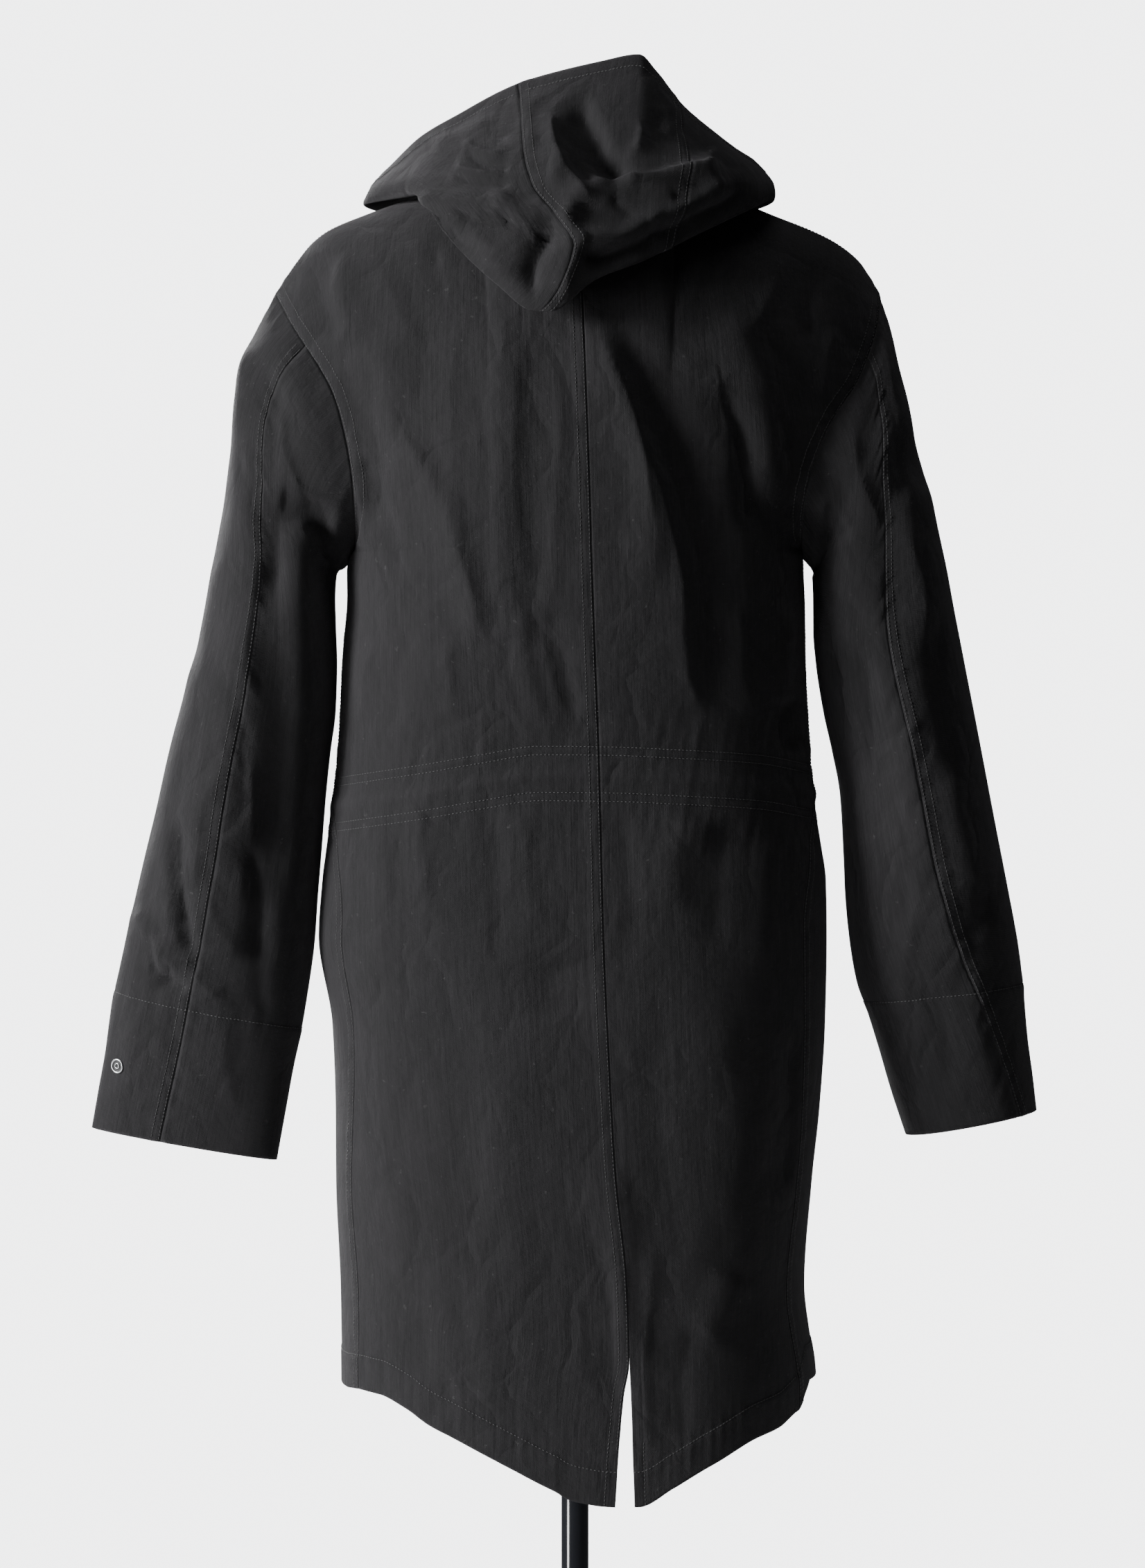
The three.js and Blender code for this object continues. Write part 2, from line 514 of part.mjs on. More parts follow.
// Pieces that meet at a seam share one normal there, so that their walls are parted evenly, and
// each draws back from the others by half the gap. An edge that meets nothing stays in place.
function shareNormals(pieces) {
  const atSeam = new Map();
  const borders = [];
  for (const piece of pieces) {
    piece.normals = gridNormals(piece.points, piece.flip);
    piece.parting = piece.points.map((line) => line.map(() => new THREE.Vector3()));
    piece.points.forEach((line, j) => line.forEach((point, i) => {
      if (!onBorder(piece.points, i, j)) return;
      const key = placeKey(point);
      if (!atSeam.has(key)) atSeam.set(key, { normal: new THREE.Vector3(), inward: new THREE.Vector3(), count: 0 });
      const seam = atSeam.get(key);
      const inward = inwardFrom(piece.points, i, j);
      seam.normal.add(piece.normals[j][i]);
      seam.inward.add(inward);
      seam.count += 1;
      borders.push({ normal: piece.normals[j][i], parting: piece.parting[j][i], inward, seam });
    }));
  }
  for (const { normal, parting, inward, seam } of borders) {
    if (seam.normal.length() > 0.2) normal.copy(seam.normal).normalize();
    parting.copy(inward).multiplyScalar(seam.count).sub(seam.inward);
    if (seam.count > 1) parting.setLength(SEAM_GAP * 0.8);
  }
}

// Lifts every point of the pieces along its normal by the piece's own folds.
function foldPieces(pieces) {
  shareNormals(pieces);
  for (const piece of pieces) {
    piece.points = piece.points.map((line, j) => line.map((point, i) =>
      point.clone().addScaledVector(piece.normals[j][i], piece.lift(point, piece.normals[j][i], i, j))));
  }
  shareNormals(pieces);
}

// Closes a grid into a wall: its outer face, its inner face one cloth thickness in, and its rim.
function wallGeometry(piece) {
  const { points, normals, parting, flip } = piece;
  const columns = points[0].length;
  const rows = points.length;
  const outer = [];
  const inner = [];
  points.forEach((line, j) => line.forEach((point, i) => {
    const place = point.clone().add(parting[j][i]);
    outer.push(place);
    const thin = parting[j][i].length() > 0 ? CLOTH_AT_SEAM : CLOTH;
    inner.push(place.clone().addScaledVector(normals[j][i], -thin));
  }));
  const at = (i, j) => j * columns + i;
  const under = outer.length;
  const faces = [];
  const quad = (a, b, c, d) => faces.push(flip ? [a, c, b, a, d, c] : [a, b, c, a, c, d]);
  for (let j = 0; j < rows - 1; j += 1) {
    for (let i = 0; i < columns - 1; i += 1) {
      quad(at(i, j), at(i + 1, j), at(i + 1, j + 1), at(i, j + 1));
      quad(under + at(i, j), under + at(i, j + 1), under + at(i + 1, j + 1), under + at(i + 1, j));
    }
  }
  for (let i = 0; i < columns - 1; i += 1) {
    quad(at(i + 1, 0), at(i, 0), under + at(i, 0), under + at(i + 1, 0));
    quad(at(i, rows - 1), at(i + 1, rows - 1), under + at(i + 1, rows - 1), under + at(i, rows - 1));
  }
  for (let j = 0; j < rows - 1; j += 1) {
    quad(at(0, j), at(0, j + 1), under + at(0, j + 1), under + at(0, j));
    quad(at(columns - 1, j + 1), at(columns - 1, j), under + at(columns - 1, j), under + at(columns - 1, j + 1));
  }
  const geometry = new THREE.BufferGeometry();
  const places = [...outer, ...inner].flatMap((point) => [point.x, point.y, point.z]);
  geometry.setAttribute('position', new THREE.Float32BufferAttribute(places, 3));
  geometry.setIndex(faces.flat());
  geometry.computeVertexNormals();
  return geometry;
}

const parka = new THREE.Group();

function addMesh(name, geometry, finish) {
  const mesh = new THREE.Mesh(geometry, new THREE.MeshStandardMaterial(finish));
  mesh.name = name;
  parka.add(mesh);
  return mesh;
}

// Body: two backs joined at the centre back, two fronts that meet under the storm flap.
function bodyPiece(panel) {
  const folds = panel.front ? FRONT_FOLDS : BACK_FOLDS;
  return {
    name: panel.name,
    points: grid(panel.columns, PANEL_ROWS, (i, j) => panelPoint(panel, i / panel.columns, j)),
    flip: panel.side > 0 ? panel.front === false : panel.front,
    lift: (point, normal, i, j) => {
      const inside = clamp01((panel.columns - i) / 1.5) * clamp01((PANEL_ROWS - j) / 1.5);
      return foldHeight(folds, point.x, point.z) * inside + tunnelHeight(point.x, point.z);
    },
  };
}

const PANELS = [
  { name: 'back_left', side: 1, front: false, columns: BODY_COLUMNS },
  { name: 'back_right', side: -1, front: false, columns: BODY_COLUMNS },
  { name: 'front_left', side: 1, front: true, columns: BODY_COLUMNS },
  { name: 'front_right', side: -1, front: true, columns: BODY_COLUMNS },
];

// Sleeves: a top piece from the back seam over the outer edge and the front, and an under piece.
function sleevePieces(sleeve) {
  const lastRow = sleeve.rings.length - 1;
  const stepTurn = 180 / ARMHOLE_STEPS;
  const startTurn = sleeve.backSeam[0].turn;
  const pieces = [
    { name: `sleeve_${sleeve.name}_top`, endTurn: UNDER_SEAM_TURN - 360 },
    { name: `sleeve_${sleeve.name}_under`, endTurn: UNDER_SEAM_TURN },
  ];
  return pieces.map((piece) => {
    const columns = Math.round(Math.abs(piece.endTurn - startTurn) / stepTurn);
    const turnAt = (i, j) => mix(read(sleeve.backSeam, 'part', j / lastRow, 'turn'), piece.endTurn, i / columns);
    return {
      name: piece.name,
      points: grid(columns, lastRow, (i, j) => sleevePoint(sleeve, turnAt(i, j), j)),
      flip: (piece.endTurn > 0) === (sleeve.side > 0),
      lift: (point, normal, i, j) => {
        const facesBack = clamp01(normal.y * 2 + 0.4);
        const nearEnds = clamp01(j / 1.5) * clamp01((lastRow - j) / 2);
        return foldHeight(sleeve.folds, point.x, point.z) * facesBack * nearEnds;
      },
    };
  });
}

const numbered = (rows) => rows.map((row, i) => ({ ...row, row: i }));
const SLEEVES = [
  { name: 'left', side: 1, rings: numbered(SLEEVE_LEFT), backSeam: BACK_SEAM_LEFT, folds: SLEEVE_LEFT_FOLDS },
  { name: 'right', side: -1, rings: numbered(SLEEVE_RIGHT), backSeam: BACK_SEAM_RIGHT, folds: SLEEVE_RIGHT_FOLDS },
];

// Neck seam: the top edges of the panels, from the right front edge round the back to the left.
function neckPoint(column) {
  const steps = NECK_COLUMNS * 2;
  const vertex = (index) => {
    const side = index < steps ? -1 : 1;
    const fromBack = Math.abs(index - steps);
    const front = fromBack > NECK_COLUMNS;
    const u = (front ? steps - fromBack : fromBack) / BODY_COLUMNS;
    return topPoint({ side, front, columns: BODY_COLUMNS }, u);
  };
  const place = Math.min(Math.max(column / HOOD_COLUMNS, HOOD_START), 1 - HOOD_START) * steps * 2;
  const before = Math.min(Math.floor(place), steps * 2 - 1);
  return vertex(before).lerp(vertex(before + 1), place - before);
}

// A smooth curve through a few points, by its share of the way from the first to the last.
function curveThrough(points, share) {
  const last = points.length - 1;
  const place = Math.min(share * last, last - 1e-6);
  const i = Math.floor(place);
  const t = place - i;
  const before = points[Math.max(i - 1, 0)];
  const after = points[Math.min(i + 2, last)];
  const blend = (axis) => {
    const [a, b, c, d] = [before[axis], points[i][axis], points[i + 1][axis], after[axis]];
    return b + (t * (c - a) + t * t * (2 * a - 5 * b + 4 * c - d) + t * t * t * (3 * b - a - 3 * c + d)) / 2;
  };
  return new THREE.Vector3(blend('x'), blend('y'), blend('z'));
}

function hoodPoint(column, row) {
  const share = column / HOOD_COLUMNS * 2 - 1;
  const place = (rows) => new THREE.Vector3(...['x', 'y', 'z'].map((axis) => read(rows, 'share', share, axis)));
  const neck = neckPoint(column);
  neck.z += SEAM_GAP;
  const stand = neck.clone().multiply(new THREE.Vector3(HOOD_SPREAD, HOOD_SPREAD, 1));
  stand.z += HOOD_STAND;
  const fold = place(HOOD_FOLD);
  const under = stand.clone().lerp(fold, 0.5);
  under.y += UNDER_PUSH * Math.cos(share * Math.PI);
  under.z += UNDER_PUSH / 2 * Math.abs(Math.sin(share * Math.PI));
  return curveThrough([neck, stand, under, fold, place(HOOD_BULGE), place(HOOD_RIM)], row / HOOD_ROWS);
}

function hoodPiece(name, from, to) {
  return {
    name,
    points: grid(to - from, HOOD_ROWS, (i, j) => hoodPoint(from + i, j)),
    flip: true,
    lift: (point, normal, i, j) => {
      const { start, end } = HOOD_OUTSIDE;
      const outside = clamp01((j / HOOD_ROWS - start) / (end - start)) * clamp01(HOOD_ROWS - j);
      return foldHeight(HOOD_FOLDS, point.x, point.z) * outside * clamp01(normal.y * 3);
    },
  };
}

const HOOD_PIECES = [
  hoodPiece('hood_right', 0, HOOD_SEAMS[0]),
  hoodPiece('hood_centre', HOOD_SEAMS[0], HOOD_SEAMS[1]),
  hoodPiece('hood_left', HOOD_SEAMS[1], HOOD_COLUMNS),
];

// Storm flap: lies on the fronts' first facets either side of their edges, moved out.
function flapPiece() {
  const columns = 2;
  return {
    name: 'front_placket',
    points: grid(columns, PANEL_ROWS, (i, j) => {
      const front = { side: i === 0 ? -1 : 1, front: true, columns: BODY_COLUMNS };
      const row = j < PANEL_ROWS ? j : PANEL_ROWS - FLAP_SHORT;
      const edge = panelPoint(front, 0, row);
      const next = panelPoint(front, 1 / BODY_COLUMNS, row);
      return i === 1 ? edge : edge.lerp(next, Math.min(1, FLAP_WIDTH / 2 / Math.abs(next.x - edge.x)));
    }),
    flip: false,
    lift: (point) => FLAP_LIFT + tunnelHeight(point.x, point.z),
  };
}

const clothPieces = [...PANELS.map(bodyPiece), ...SLEEVES.flatMap(sleevePieces), ...HOOD_PIECES, flapPiece()];
foldPieces(clothPieces);
clothPieces.forEach((piece) => addMesh(piece.name, wallGeometry(piece), BLACK_COTTON));

// Dress form: a closed solid through its rings.
function formGeometry() {
  const places = [];
  const faces = [];
  for (const ring of FORM) {
    for (let i = 0; i < FORM_SIDES; i += 1) {
      const turn = i / FORM_SIDES * Math.PI * 2;
      const depth = Math.cos(turn) > 0 ? ring.back : ring.front;
      const width = Math.sin(turn) > 0 ? ring.left : ring.right;
      const x = width * signedPower(Math.sin(turn), 2 / ring.square);
      places.push(x, depth * signedPower(Math.cos(turn), 2 / ring.square), ring.z);
    }
  }
  const lastRing = (FORM.length - 1) * FORM_SIDES;
  for (let i = 0; i < FORM_SIDES; i += 1) {
    const next = (i + 1) % FORM_SIDES;
    for (let ring = 0; ring < lastRing; ring += FORM_SIDES) {
      faces.push(ring + i, ring + FORM_SIDES + i, ring + next);
      faces.push(ring + next, ring + FORM_SIDES + i, ring + FORM_SIDES + next);
    }
    if (i > 0 && i < FORM_SIDES - 1) {
      faces.push(0, i, next);
      faces.push(lastRing, lastRing + next, lastRing + i);
    }
  }
  const geometry = new THREE.BufferGeometry();
  geometry.setAttribute('position', new THREE.Float32BufferAttribute(places, 3));
  geometry.setIndex(faces);
  geometry.computeVertexNormals();
  return geometry;
}

// A solid of revolution about an upright axis: rows of radius and height, from the axis to the axis.
function turned(profile, sides) {
  const geometry = new THREE.LatheGeometry(profile.map(([radius, z]) => new THREE.Vector2(radius, z)), sides);
  return geometry.rotateX(Math.PI / 2);
}

addMesh('form_torso', formGeometry(), FORM_JERSEY);

const formBottom = FORM[0].z;
const neckTop = FORM[FORM.length - 1].z + SEAM_GAP;
const neckCap = turned([
  [0, 0], [NECK_CAP.radius, 0], [NECK_CAP.radius, NECK_CAP.rim], [NECK_CAP.radius * 0.8, NECK_CAP.height * 0.85],
  [NECK_CAP.radius * 0.4, NECK_CAP.height], [0, NECK_CAP.height],
], 24);
addMesh('neck_cap', neckCap, BLACK_GLOSS).position.z = neckTop;

const collar = turned([[0, 0], [COLLAR.radius, 0], [COLLAR.radius, COLLAR.height], [0, COLLAR.height]], 20);
const collarBottom = formBottom - SEAM_GAP - COLLAR.height;
addMesh('pole_collar', collar, BLACK_GLOSS).position.z = collarBottom;

const poleLength = collarBottom - BASE.height - SEAM_GAP * 2;
const pole = turned([[0, 0], [POLE_RADIUS, 0], [POLE_RADIUS, poleLength], [0, poleLength]], 20);
addMesh('pole', pole, BLACK_GLOSS).position.z = BASE.height + SEAM_GAP;

const base = turned([
  [0, 0], [BASE.radius, 0], [BASE.radius, BASE.height - BASE.bevel],
  [BASE.radius - BASE.bevel, BASE.height], [0, BASE.height],
], 40);
addMesh('base', base, BLACK_GLOSS);

// One snap on each cuff: a flanged stud with a socket sunk into its face.
function snapOn(name, sleeve, turn, row) {
  const profile = [
    [0, 0], [SNAP.radius, 0], [SNAP.radius, SNAP.height * 0.6], [SNAP.rim, SNAP.height],
    [SNAP.socket, SNAP.height], [SNAP.hole, SNAP.height - SNAP.socketDepth], [0, SNAP.height - SNAP.socketDepth],
  ];
  const centre = sleevePoint(sleeve, turn, row);
  const around = sleevePoint(sleeve, turn + 3, row).sub(sleevePoint(sleeve, turn - 3, row));
  const along = sleevePoint(sleeve, turn, row + 0.3).sub(sleevePoint(sleeve, turn, row - 0.3));
  const normal = around.cross(along).normalize().multiplyScalar(-sleeve.side);
  const mesh = addMesh(name, turned(profile, 20), GUN_METAL);
  mesh.quaternion.setFromUnitVectors(new THREE.Vector3(0, 0, 1), normal);
  mesh.position.copy(centre).addScaledVector(normal, SNAP.lift);
}

snapOn('snap_left', SLEEVES[0], SNAP.turnLeft, SNAP.row);
snapOn('snap_right', SLEEVES[1], SNAP.turnRight, SNAP.row);

export default parka;
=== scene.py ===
"""A black cotton fishtail parka with its hood down, seen from behind on a limbless dress form.

Metres in the row's frame, +Z up, the parka's back towards +Y and the wearer's left towards +X. The
garment's own tables are in millimetres, like its cutting sizes.
"""
import math

import bmesh
import bpy
import numpy as np
from mathutils import Matrix, Vector


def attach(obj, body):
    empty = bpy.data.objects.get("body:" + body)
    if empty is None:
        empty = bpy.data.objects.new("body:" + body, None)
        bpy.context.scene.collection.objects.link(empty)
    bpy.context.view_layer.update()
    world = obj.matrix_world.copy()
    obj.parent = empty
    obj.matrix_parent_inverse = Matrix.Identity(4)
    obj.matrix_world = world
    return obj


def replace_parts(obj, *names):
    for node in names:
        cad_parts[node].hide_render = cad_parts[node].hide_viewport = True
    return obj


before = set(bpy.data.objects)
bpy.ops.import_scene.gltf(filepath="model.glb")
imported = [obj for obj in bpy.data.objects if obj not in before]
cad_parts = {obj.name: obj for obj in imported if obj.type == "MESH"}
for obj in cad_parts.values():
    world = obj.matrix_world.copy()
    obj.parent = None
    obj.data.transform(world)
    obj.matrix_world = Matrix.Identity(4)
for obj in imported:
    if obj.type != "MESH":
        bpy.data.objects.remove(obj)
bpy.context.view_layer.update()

# Body
# Two backs joined down the centre back and two fronts under a storm flap, all of one tightly woven
# black cotton. Each is a single layer, cut to shape, felled to its neighbours and hemmed below.
MM = 0.001
CLOTH = 1.2
SQUARENESS = 2.4
SHOULDER_ROUND = 2.4
DRIFT = 1.2
LEAST_LEAN = 0.05
CLIMB_START = 2.3
CLIMB_END = 1.4
UNDERARM_Z = 1167
NECK_HALF_WIDTH = 75
NECK_POINT_Z = 1474
NECK_BACK = (66, 19)
NECK_FRONT = (-72, 78)
NECK_SHARE = 1 / 3
SHOULDER_TIP_Y = 5
FRONT_ARMHOLE = 0.95
TUNNEL_Z = 991
TUNNEL_REACH = 55
TUNNEL_ROWS = (21.8, 15.3, -14, -20.5)
HEM_LEVEL = 506
HEM_FADE_TOP = 860
HEM_STEP = 0.92
HEM_TURN = 27
VENT_TOP_Z = 537
VENT_TURN = 8.6
FELL = 9.6
FELL_FIRST_ROW = 1.7
FELL_LAST_ROW = 1.3
ARMHOLE_FELL = 10.5
ARMHOLE_NEAR_ROWS = 12
FAR = 200.0
ROW_DIP = 0.4
ROW_HALF_WIDTH = 1.3
SOFTER = 0.85
LEAST_SHARE = 0.31


def table(columns, rows):
    """Rows of numbers under named columns, as one array for each column."""
    return dict(zip(columns.split(), np.array(rows, dtype=float).T))


BODY = table("z left right back front", [
    (425, 186, 193, 139, 128), (504, 187.6, 193.8, 138, 128), (582, 189, 185, 135, 127),
    (666, 192.6, 191, 133, 126), (722, 193, 197, 132, 125), (790, 195.5, 201.6, 133, 125),
    (862, 206.6, 203, 133, 125), (904, 204, 202.5, 130, 122), (946, 199, 196.6, 124, 118),
    (988, 193, 191, 119, 114), (1030, 190, 188.5, 123, 117), (1086, 187.5, 186, 131, 124),
    (1128, 183.5, 185.4, 135, 128), (1167, 179, 183.5, 137, 130),
])
SHOULDER = table("part left right z", [
    (0, 75, 75, 1474), (0.27, 122, 119, 1459), (0.54, 169, 159, 1443), (0.72, 198, 190, 1431),
    (0.82, 211.5, 210, 1421), (0.91, 224, 229, 1406), (1, 241.6, 245.8, 1380),
])
ARMHOLE_LEFT = table("part x y z", [
    (0, 241.6, 5, 1380), (0.16, 226, 40, 1351), (0.25, 214, 57, 1332), (0.34, 200.4, 70, 1311),
    (0.425, 189.7, 79, 1290), (0.515, 182, 85, 1264), (0.605, 176.8, 85, 1237), (0.68, 174.5, 80, 1215),
    (0.78, 174, 62, 1190), (0.88, 176, 35, 1174), (1, 179, 0, 1167),
])
ARMHOLE_RIGHT = table("part x y z", [
    (0, 245.8, 5, 1380), (0.14, 241, 33, 1350), (0.33, 224, 58, 1304), (0.47, 203, 74, 1272),
    (0.58, 189.5, 83, 1243), (0.67, 183, 83, 1220), (0.78, 179.5, 66, 1193), (0.88, 181, 35, 1175),
    (1, 183.5, 0, 1167),
])
CENTRE_BACK = table("z seam", [
    (424, -43), (480, -43), (537, -42), (598, -40), (678, -32), (786, -26), (865, -22.5), (950, -20.4),
    (1015, -18.7), (1082, -16), (1167, -13), (1266, -9.5), (1351, -5.3), (1455, -2),
])
VENT = table("z left right", [
    (424, 12, -3), (470, 9, -1.5), (510, 5, -0.5), (537, 0, 0), (560, 0, 0),
])
SIDE_SEAM = table("z turn", [
    (420, 63), (504, 63), (582, 62), (666, 64), (780, 61), (872, 60), (936, 68), (975, 80), (1007, 88),
    (1100, 90), (1167, 90),
])
HEM_BACK = table("x drop", [
    (-190, -14), (-176, -17), (-160, -27), (-139, -34), (-112, -48), (-96, -56), (-74, -68), (-46, -81.5),
    (-31, -80.5), (10, -67), (45, -51.4), (67, -41.3), (93, -29.3), (112, -21), (131, -9.5), (153, -1),
    (190, 1),
])
HEM_FRONT = table("part left right", [(0, 8, 8), (0.6, 0, 5), (1, -2, 4)])
TUNNEL_DROP = table("x drop", [
    (-190, -14), (-143, -6), (-75, -2), (-27, 0), (27, 0.5), (73, -6), (120, -14), (190, -24),
])

# The folds of the back as seen from behind. Each runs from one place to another, bowed sideways,
# and leans to one side. A negative rise is a trough.
FOLD = "x1 z1 x2 z2 bow width lean rise"
BACK_FOLDS = table(FOLD, [
    (200, 1404, 193, 1340, 4, 12, 0.2, -6), (186, 1400, 178, 1330, 3, 14, 0, 4),
    (165, 1310, 160, 1190, -5, 17, 0.3, -7), (144, 1335, 172, 1140, 10, 22, -0.2, 5),
    (128, 1252, 74, 1106, -8, 13, 0.3, 5), (60, 1340, 52, 1110, 6, 24, 0.2, 4),
    (30, 1330, 36, 1120, -4, 20, 0, -3), (18, 1116, 6, 1040, 2, 16, 0.2, -2.2),
    (-16, 1340, -62, 1150, -12, 15, 0.2, 5), (-38, 1330, -116, 1068, -14, 20, -0.3, -6),
    (-125, 1346, -158, 1218, -6, 18, 0.2, 6), (-116, 1288, -144, 1192, -4, 11, 0.3, -5),
    (-165, 1050, -172, 1012, 3, 14, 0, -5), (-92, 958, -70, 890, 4, 20, 0.2, 4),
    (16, 846, 14, 804, 2, 22, 0, -4), (-184, 780, -172, 670, -6, 20, 0.3, -5),
    (-126, 596, -103, 552, 3, 16, 0, 4), (-32, 680, -42, 545, 2, 18, 0.3, 4),
    (134, 1260, 75, 1108, -9, 4.5, 0.5, 1.8), (122, 1236, 84, 1124, -8, 8, -0.3, -1),
    (176, 1262, 160, 1178, 5, 6, 0.3, 3.2), (168, 1238, 138, 1150, -6, 7, 0.3, -3.4),
    (92, 1330, 84, 1150, 8, 10, 0.3, 1.6), (76, 1300, 68, 1130, -5, 8, 0.2, -1.6),
    (44, 1320, 40, 1150, 5, 7, 0.3, 1.4), (14, 1290, 22, 1120, -4, 8, 0.2, 1.5),
    (40, 1116, 24, 1036, 4, 7, 0.4, 1.6), (52, 1096, 40, 1036, 3, 8, 0.3, -1),
    (6, 1090, -2, 1030, 2, 6, 0.3, -1.4), (22, 1096, 8, 1040, 3, 5, 0.3, 1.5),
    (-24, 1320, -58, 1190, -8, 6, 0.3, 2.8), (-46, 1260, -84, 1120, -8, 7, 0.3, 2.8),
    (-66, 1240, -104, 1110, -8, 7, -0.3, -2), (-126, 1254, -138, 1192, -3, 5, 0.3, -4.2),
    (-108, 1300, -122, 1230, -4, 6, 0.3, 2), (-150, 1290, -172, 1214, -5, 7, 0.3, -2.2),
    (-84, 1110, -96, 1046, 4, 8, 0.2, 2), (-130, 1120, -140, 1040, 4, 9, 0.3, 1.8),
    (-170, 1120, -160, 1040, -4, 9, 0.3, 1.8), (130, 1100, 140, 1030, 4, 9, 0.2, -2),
    (160, 1090, 168, 1034, 3, 7, 0.2, 2), (98, 1090, 92, 1036, 3, 8, 0.2, 1.8),
    (120, 968, 108, 880, 5, 10, 0.3, 1.8), (70, 970, 60, 860, -5, 11, 0.3, -1.8),
    (38, 966, 30, 880, 4, 9, 0.2, 1.4), (-34, 962, -44, 850, -4, 10, 0.2, -1.6),
    (-120, 950, -112, 860, 4, 11, 0.3, -1.8), (-160, 940, -150, 840, 5, 12, 0.3, 2),
    (150, 940, 160, 830, -5, 12, 0.2, 1.8), (150, 800, 138, 640, 8, 18, 0.2, 2.2),
    (96, 820, 86, 620, -8, 20, 0.3, -2), (50, 760, 40, 560, 6, 18, 0.2, 1.8),
    (-66, 800, -78, 620, 6, 16, 0.2, -2), (-112, 800, -118, 640, -6, 18, 0.2, 2),
    (-150, 760, -140, 600, 6, 14, 0.3, 2), (-16, 640, -30, 500, -4, 9, 0.3, -2),
    (-60, 620, -56, 470, 4, 9, 0.3, 1.8), (-90, 560, -84, 480, 3, 9, 0.2, -1.6),
    (70, 600, 64, 500, 3, 12, 0.2, 1.6), (120, 610, 116, 520, 4, 12, 0.2, -1.6),
    (150, 1390, 120, 1330, 5, 9, 0.2, 1.6), (110, 1410, 96, 1350, 3, 8, 0.2, -1.4),
    (-160, 1400, -136, 1340, -5, 9, 0.2, 1.6), (-196, 1396, -186, 1336, 4, 8, 0.3, -2),
    (-100, 1410, -84, 1350, -3, 9, 0.2, 1.4), (-206, 1340, -196, 1290, 3, 7, 0.2, 1.6),
])
# A painted highlight: a thin pale line in the cloth's colour along the ridge of one long crease on the
# left back.
CREASE_HIGHLIGHT = table(FOLD, [(134, 1260, 62, 1084, -9, 3.4, 0, 0.32)])
FRONT_FOLDS = table(FOLD, [
    (150, 1330, 132, 1150, 6, 20, 0.2, 5), (-148, 1340, -128, 1140, -8, 20, 0.2, 5),
    (84, 1120, 74, 1012, 3, 20, 0.2, -4), (-92, 1110, -84, 1020, -4, 18, 0.2, -4),
    (112, 930, 96, 760, 6, 24, 0.2, 5), (-108, 920, -118, 740, -5, 24, 0.2, 5),
    (124, 1300, 100, 1170, 8, 8, 0.3, 2), (-118, 1310, -100, 1180, -8, 9, 0.3, 2),
    (166, 1260, 150, 1160, 5, 8, 0.3, -2.4), (-168, 1270, -154, 1170, -5, 8, 0.3, -2.4),
    (60, 1280, 66, 1120, -6, 14, 0.2, 1.6), (-66, 1260, -60, 1110, 6, 14, 0.2, -1.6),
    (140, 1110, 150, 1030, 3, 9, 0.2, 2), (-140, 1100, -150, 1030, 3, 9, 0.2, 2),
    (110, 1090, 116, 1030, 2, 7, 0.2, -1.8), (-112, 1086, -106, 1026, 2, 7, 0.2, -1.8),
    (60, 968, 56, 880, 4, 9, 0.2, 1.8), (-60, 966, -66, 870, 4, 9, 0.2, 1.8),
    (150, 950, 156, 830, 5, 12, 0.3, -2), (-150, 950, -158, 840, 5, 12, 0.3, -2),
    (84, 800, 78, 600, -6, 18, 0.2, -2.2), (-86, 780, -80, 590, 6, 18, 0.2, -2.2),
    (140, 720, 132, 560, 6, 16, 0.2, 2), (-142, 700, -134, 560, -6, 16, 0.2, 2),
])


def read(rows, key, place, column):
    """One column of a table at places between its rows, as a smooth curve that never swings past."""
    keys, values = rows[key], rows[column]
    at = np.clip(place, keys[0], keys[-1])
    i = np.clip(np.searchsorted(keys, at, side="right") - 1, 0, len(keys) - 2)
    slope = np.diff(values) / np.diff(keys)
    both = slope[:-1] * slope[1:]
    total = np.where(both > 0, slope[:-1] + slope[1:], 1)
    tangent = np.concatenate([slope[:1], np.where(both > 0, 2 * both / total, 0), slope[-1:]])
    span = keys[i + 1] - keys[i]
    t = (at - keys[i]) / span
    start, end = values[i], values[i + 1]
    leave, arrive = tangent[i] * span, tangent[i + 1] * span
    curve = (2 * start - 2 * end + leave + arrive) * t + 3 * (end - start) - 2 * leave - arrive
    return (curve * t + leave) * t + start


def points_of(x, y, z):
    return np.stack(np.broadcast_arrays(x, y, z), axis=-1)


def mix(a, b, t):
    return a + (b - a) * t


def clamp01(t):
    return np.clip(t, 0, 1)


def smooth(low, high, value):
    t = clamp01((value - low) / (high - low))
    return t * t * (3 - 2 * t)


def bump(value, centre, width):
    return np.exp(-((value - centre) / width) ** 2)


def signed_power(value, power):
    return np.sign(value) * np.abs(value) ** power


def side_name(side):
    return "left" if side > 0 else "right"


def ring_point(turn, z):
    """A point of the body's ring, turned from the centre back towards the wearer's left."""
    z = z + 0 * turn
    left, right = read(BODY, "z", z, "left"), read(BODY, "z", z, "right")
    depth = np.where(np.cos(turn) > 0, read(BODY, "z", z, "back"), read(BODY, "z", z, "front"))
    x = (left - right) / 2 + (left + right) / 2 * signed_power(np.sin(turn), 2 / SQUARENESS)
    return points_of(x, depth * signed_power(np.cos(turn), 2 / SQUARENESS), z)


def turn_of(x, z):
    left, right = read(BODY, "z", z, "left"), read(BODY, "z", z, "right")
    return np.arcsin(signed_power((x - (left - right) / 2) / ((left + right) / 2), SQUARENESS / 2))


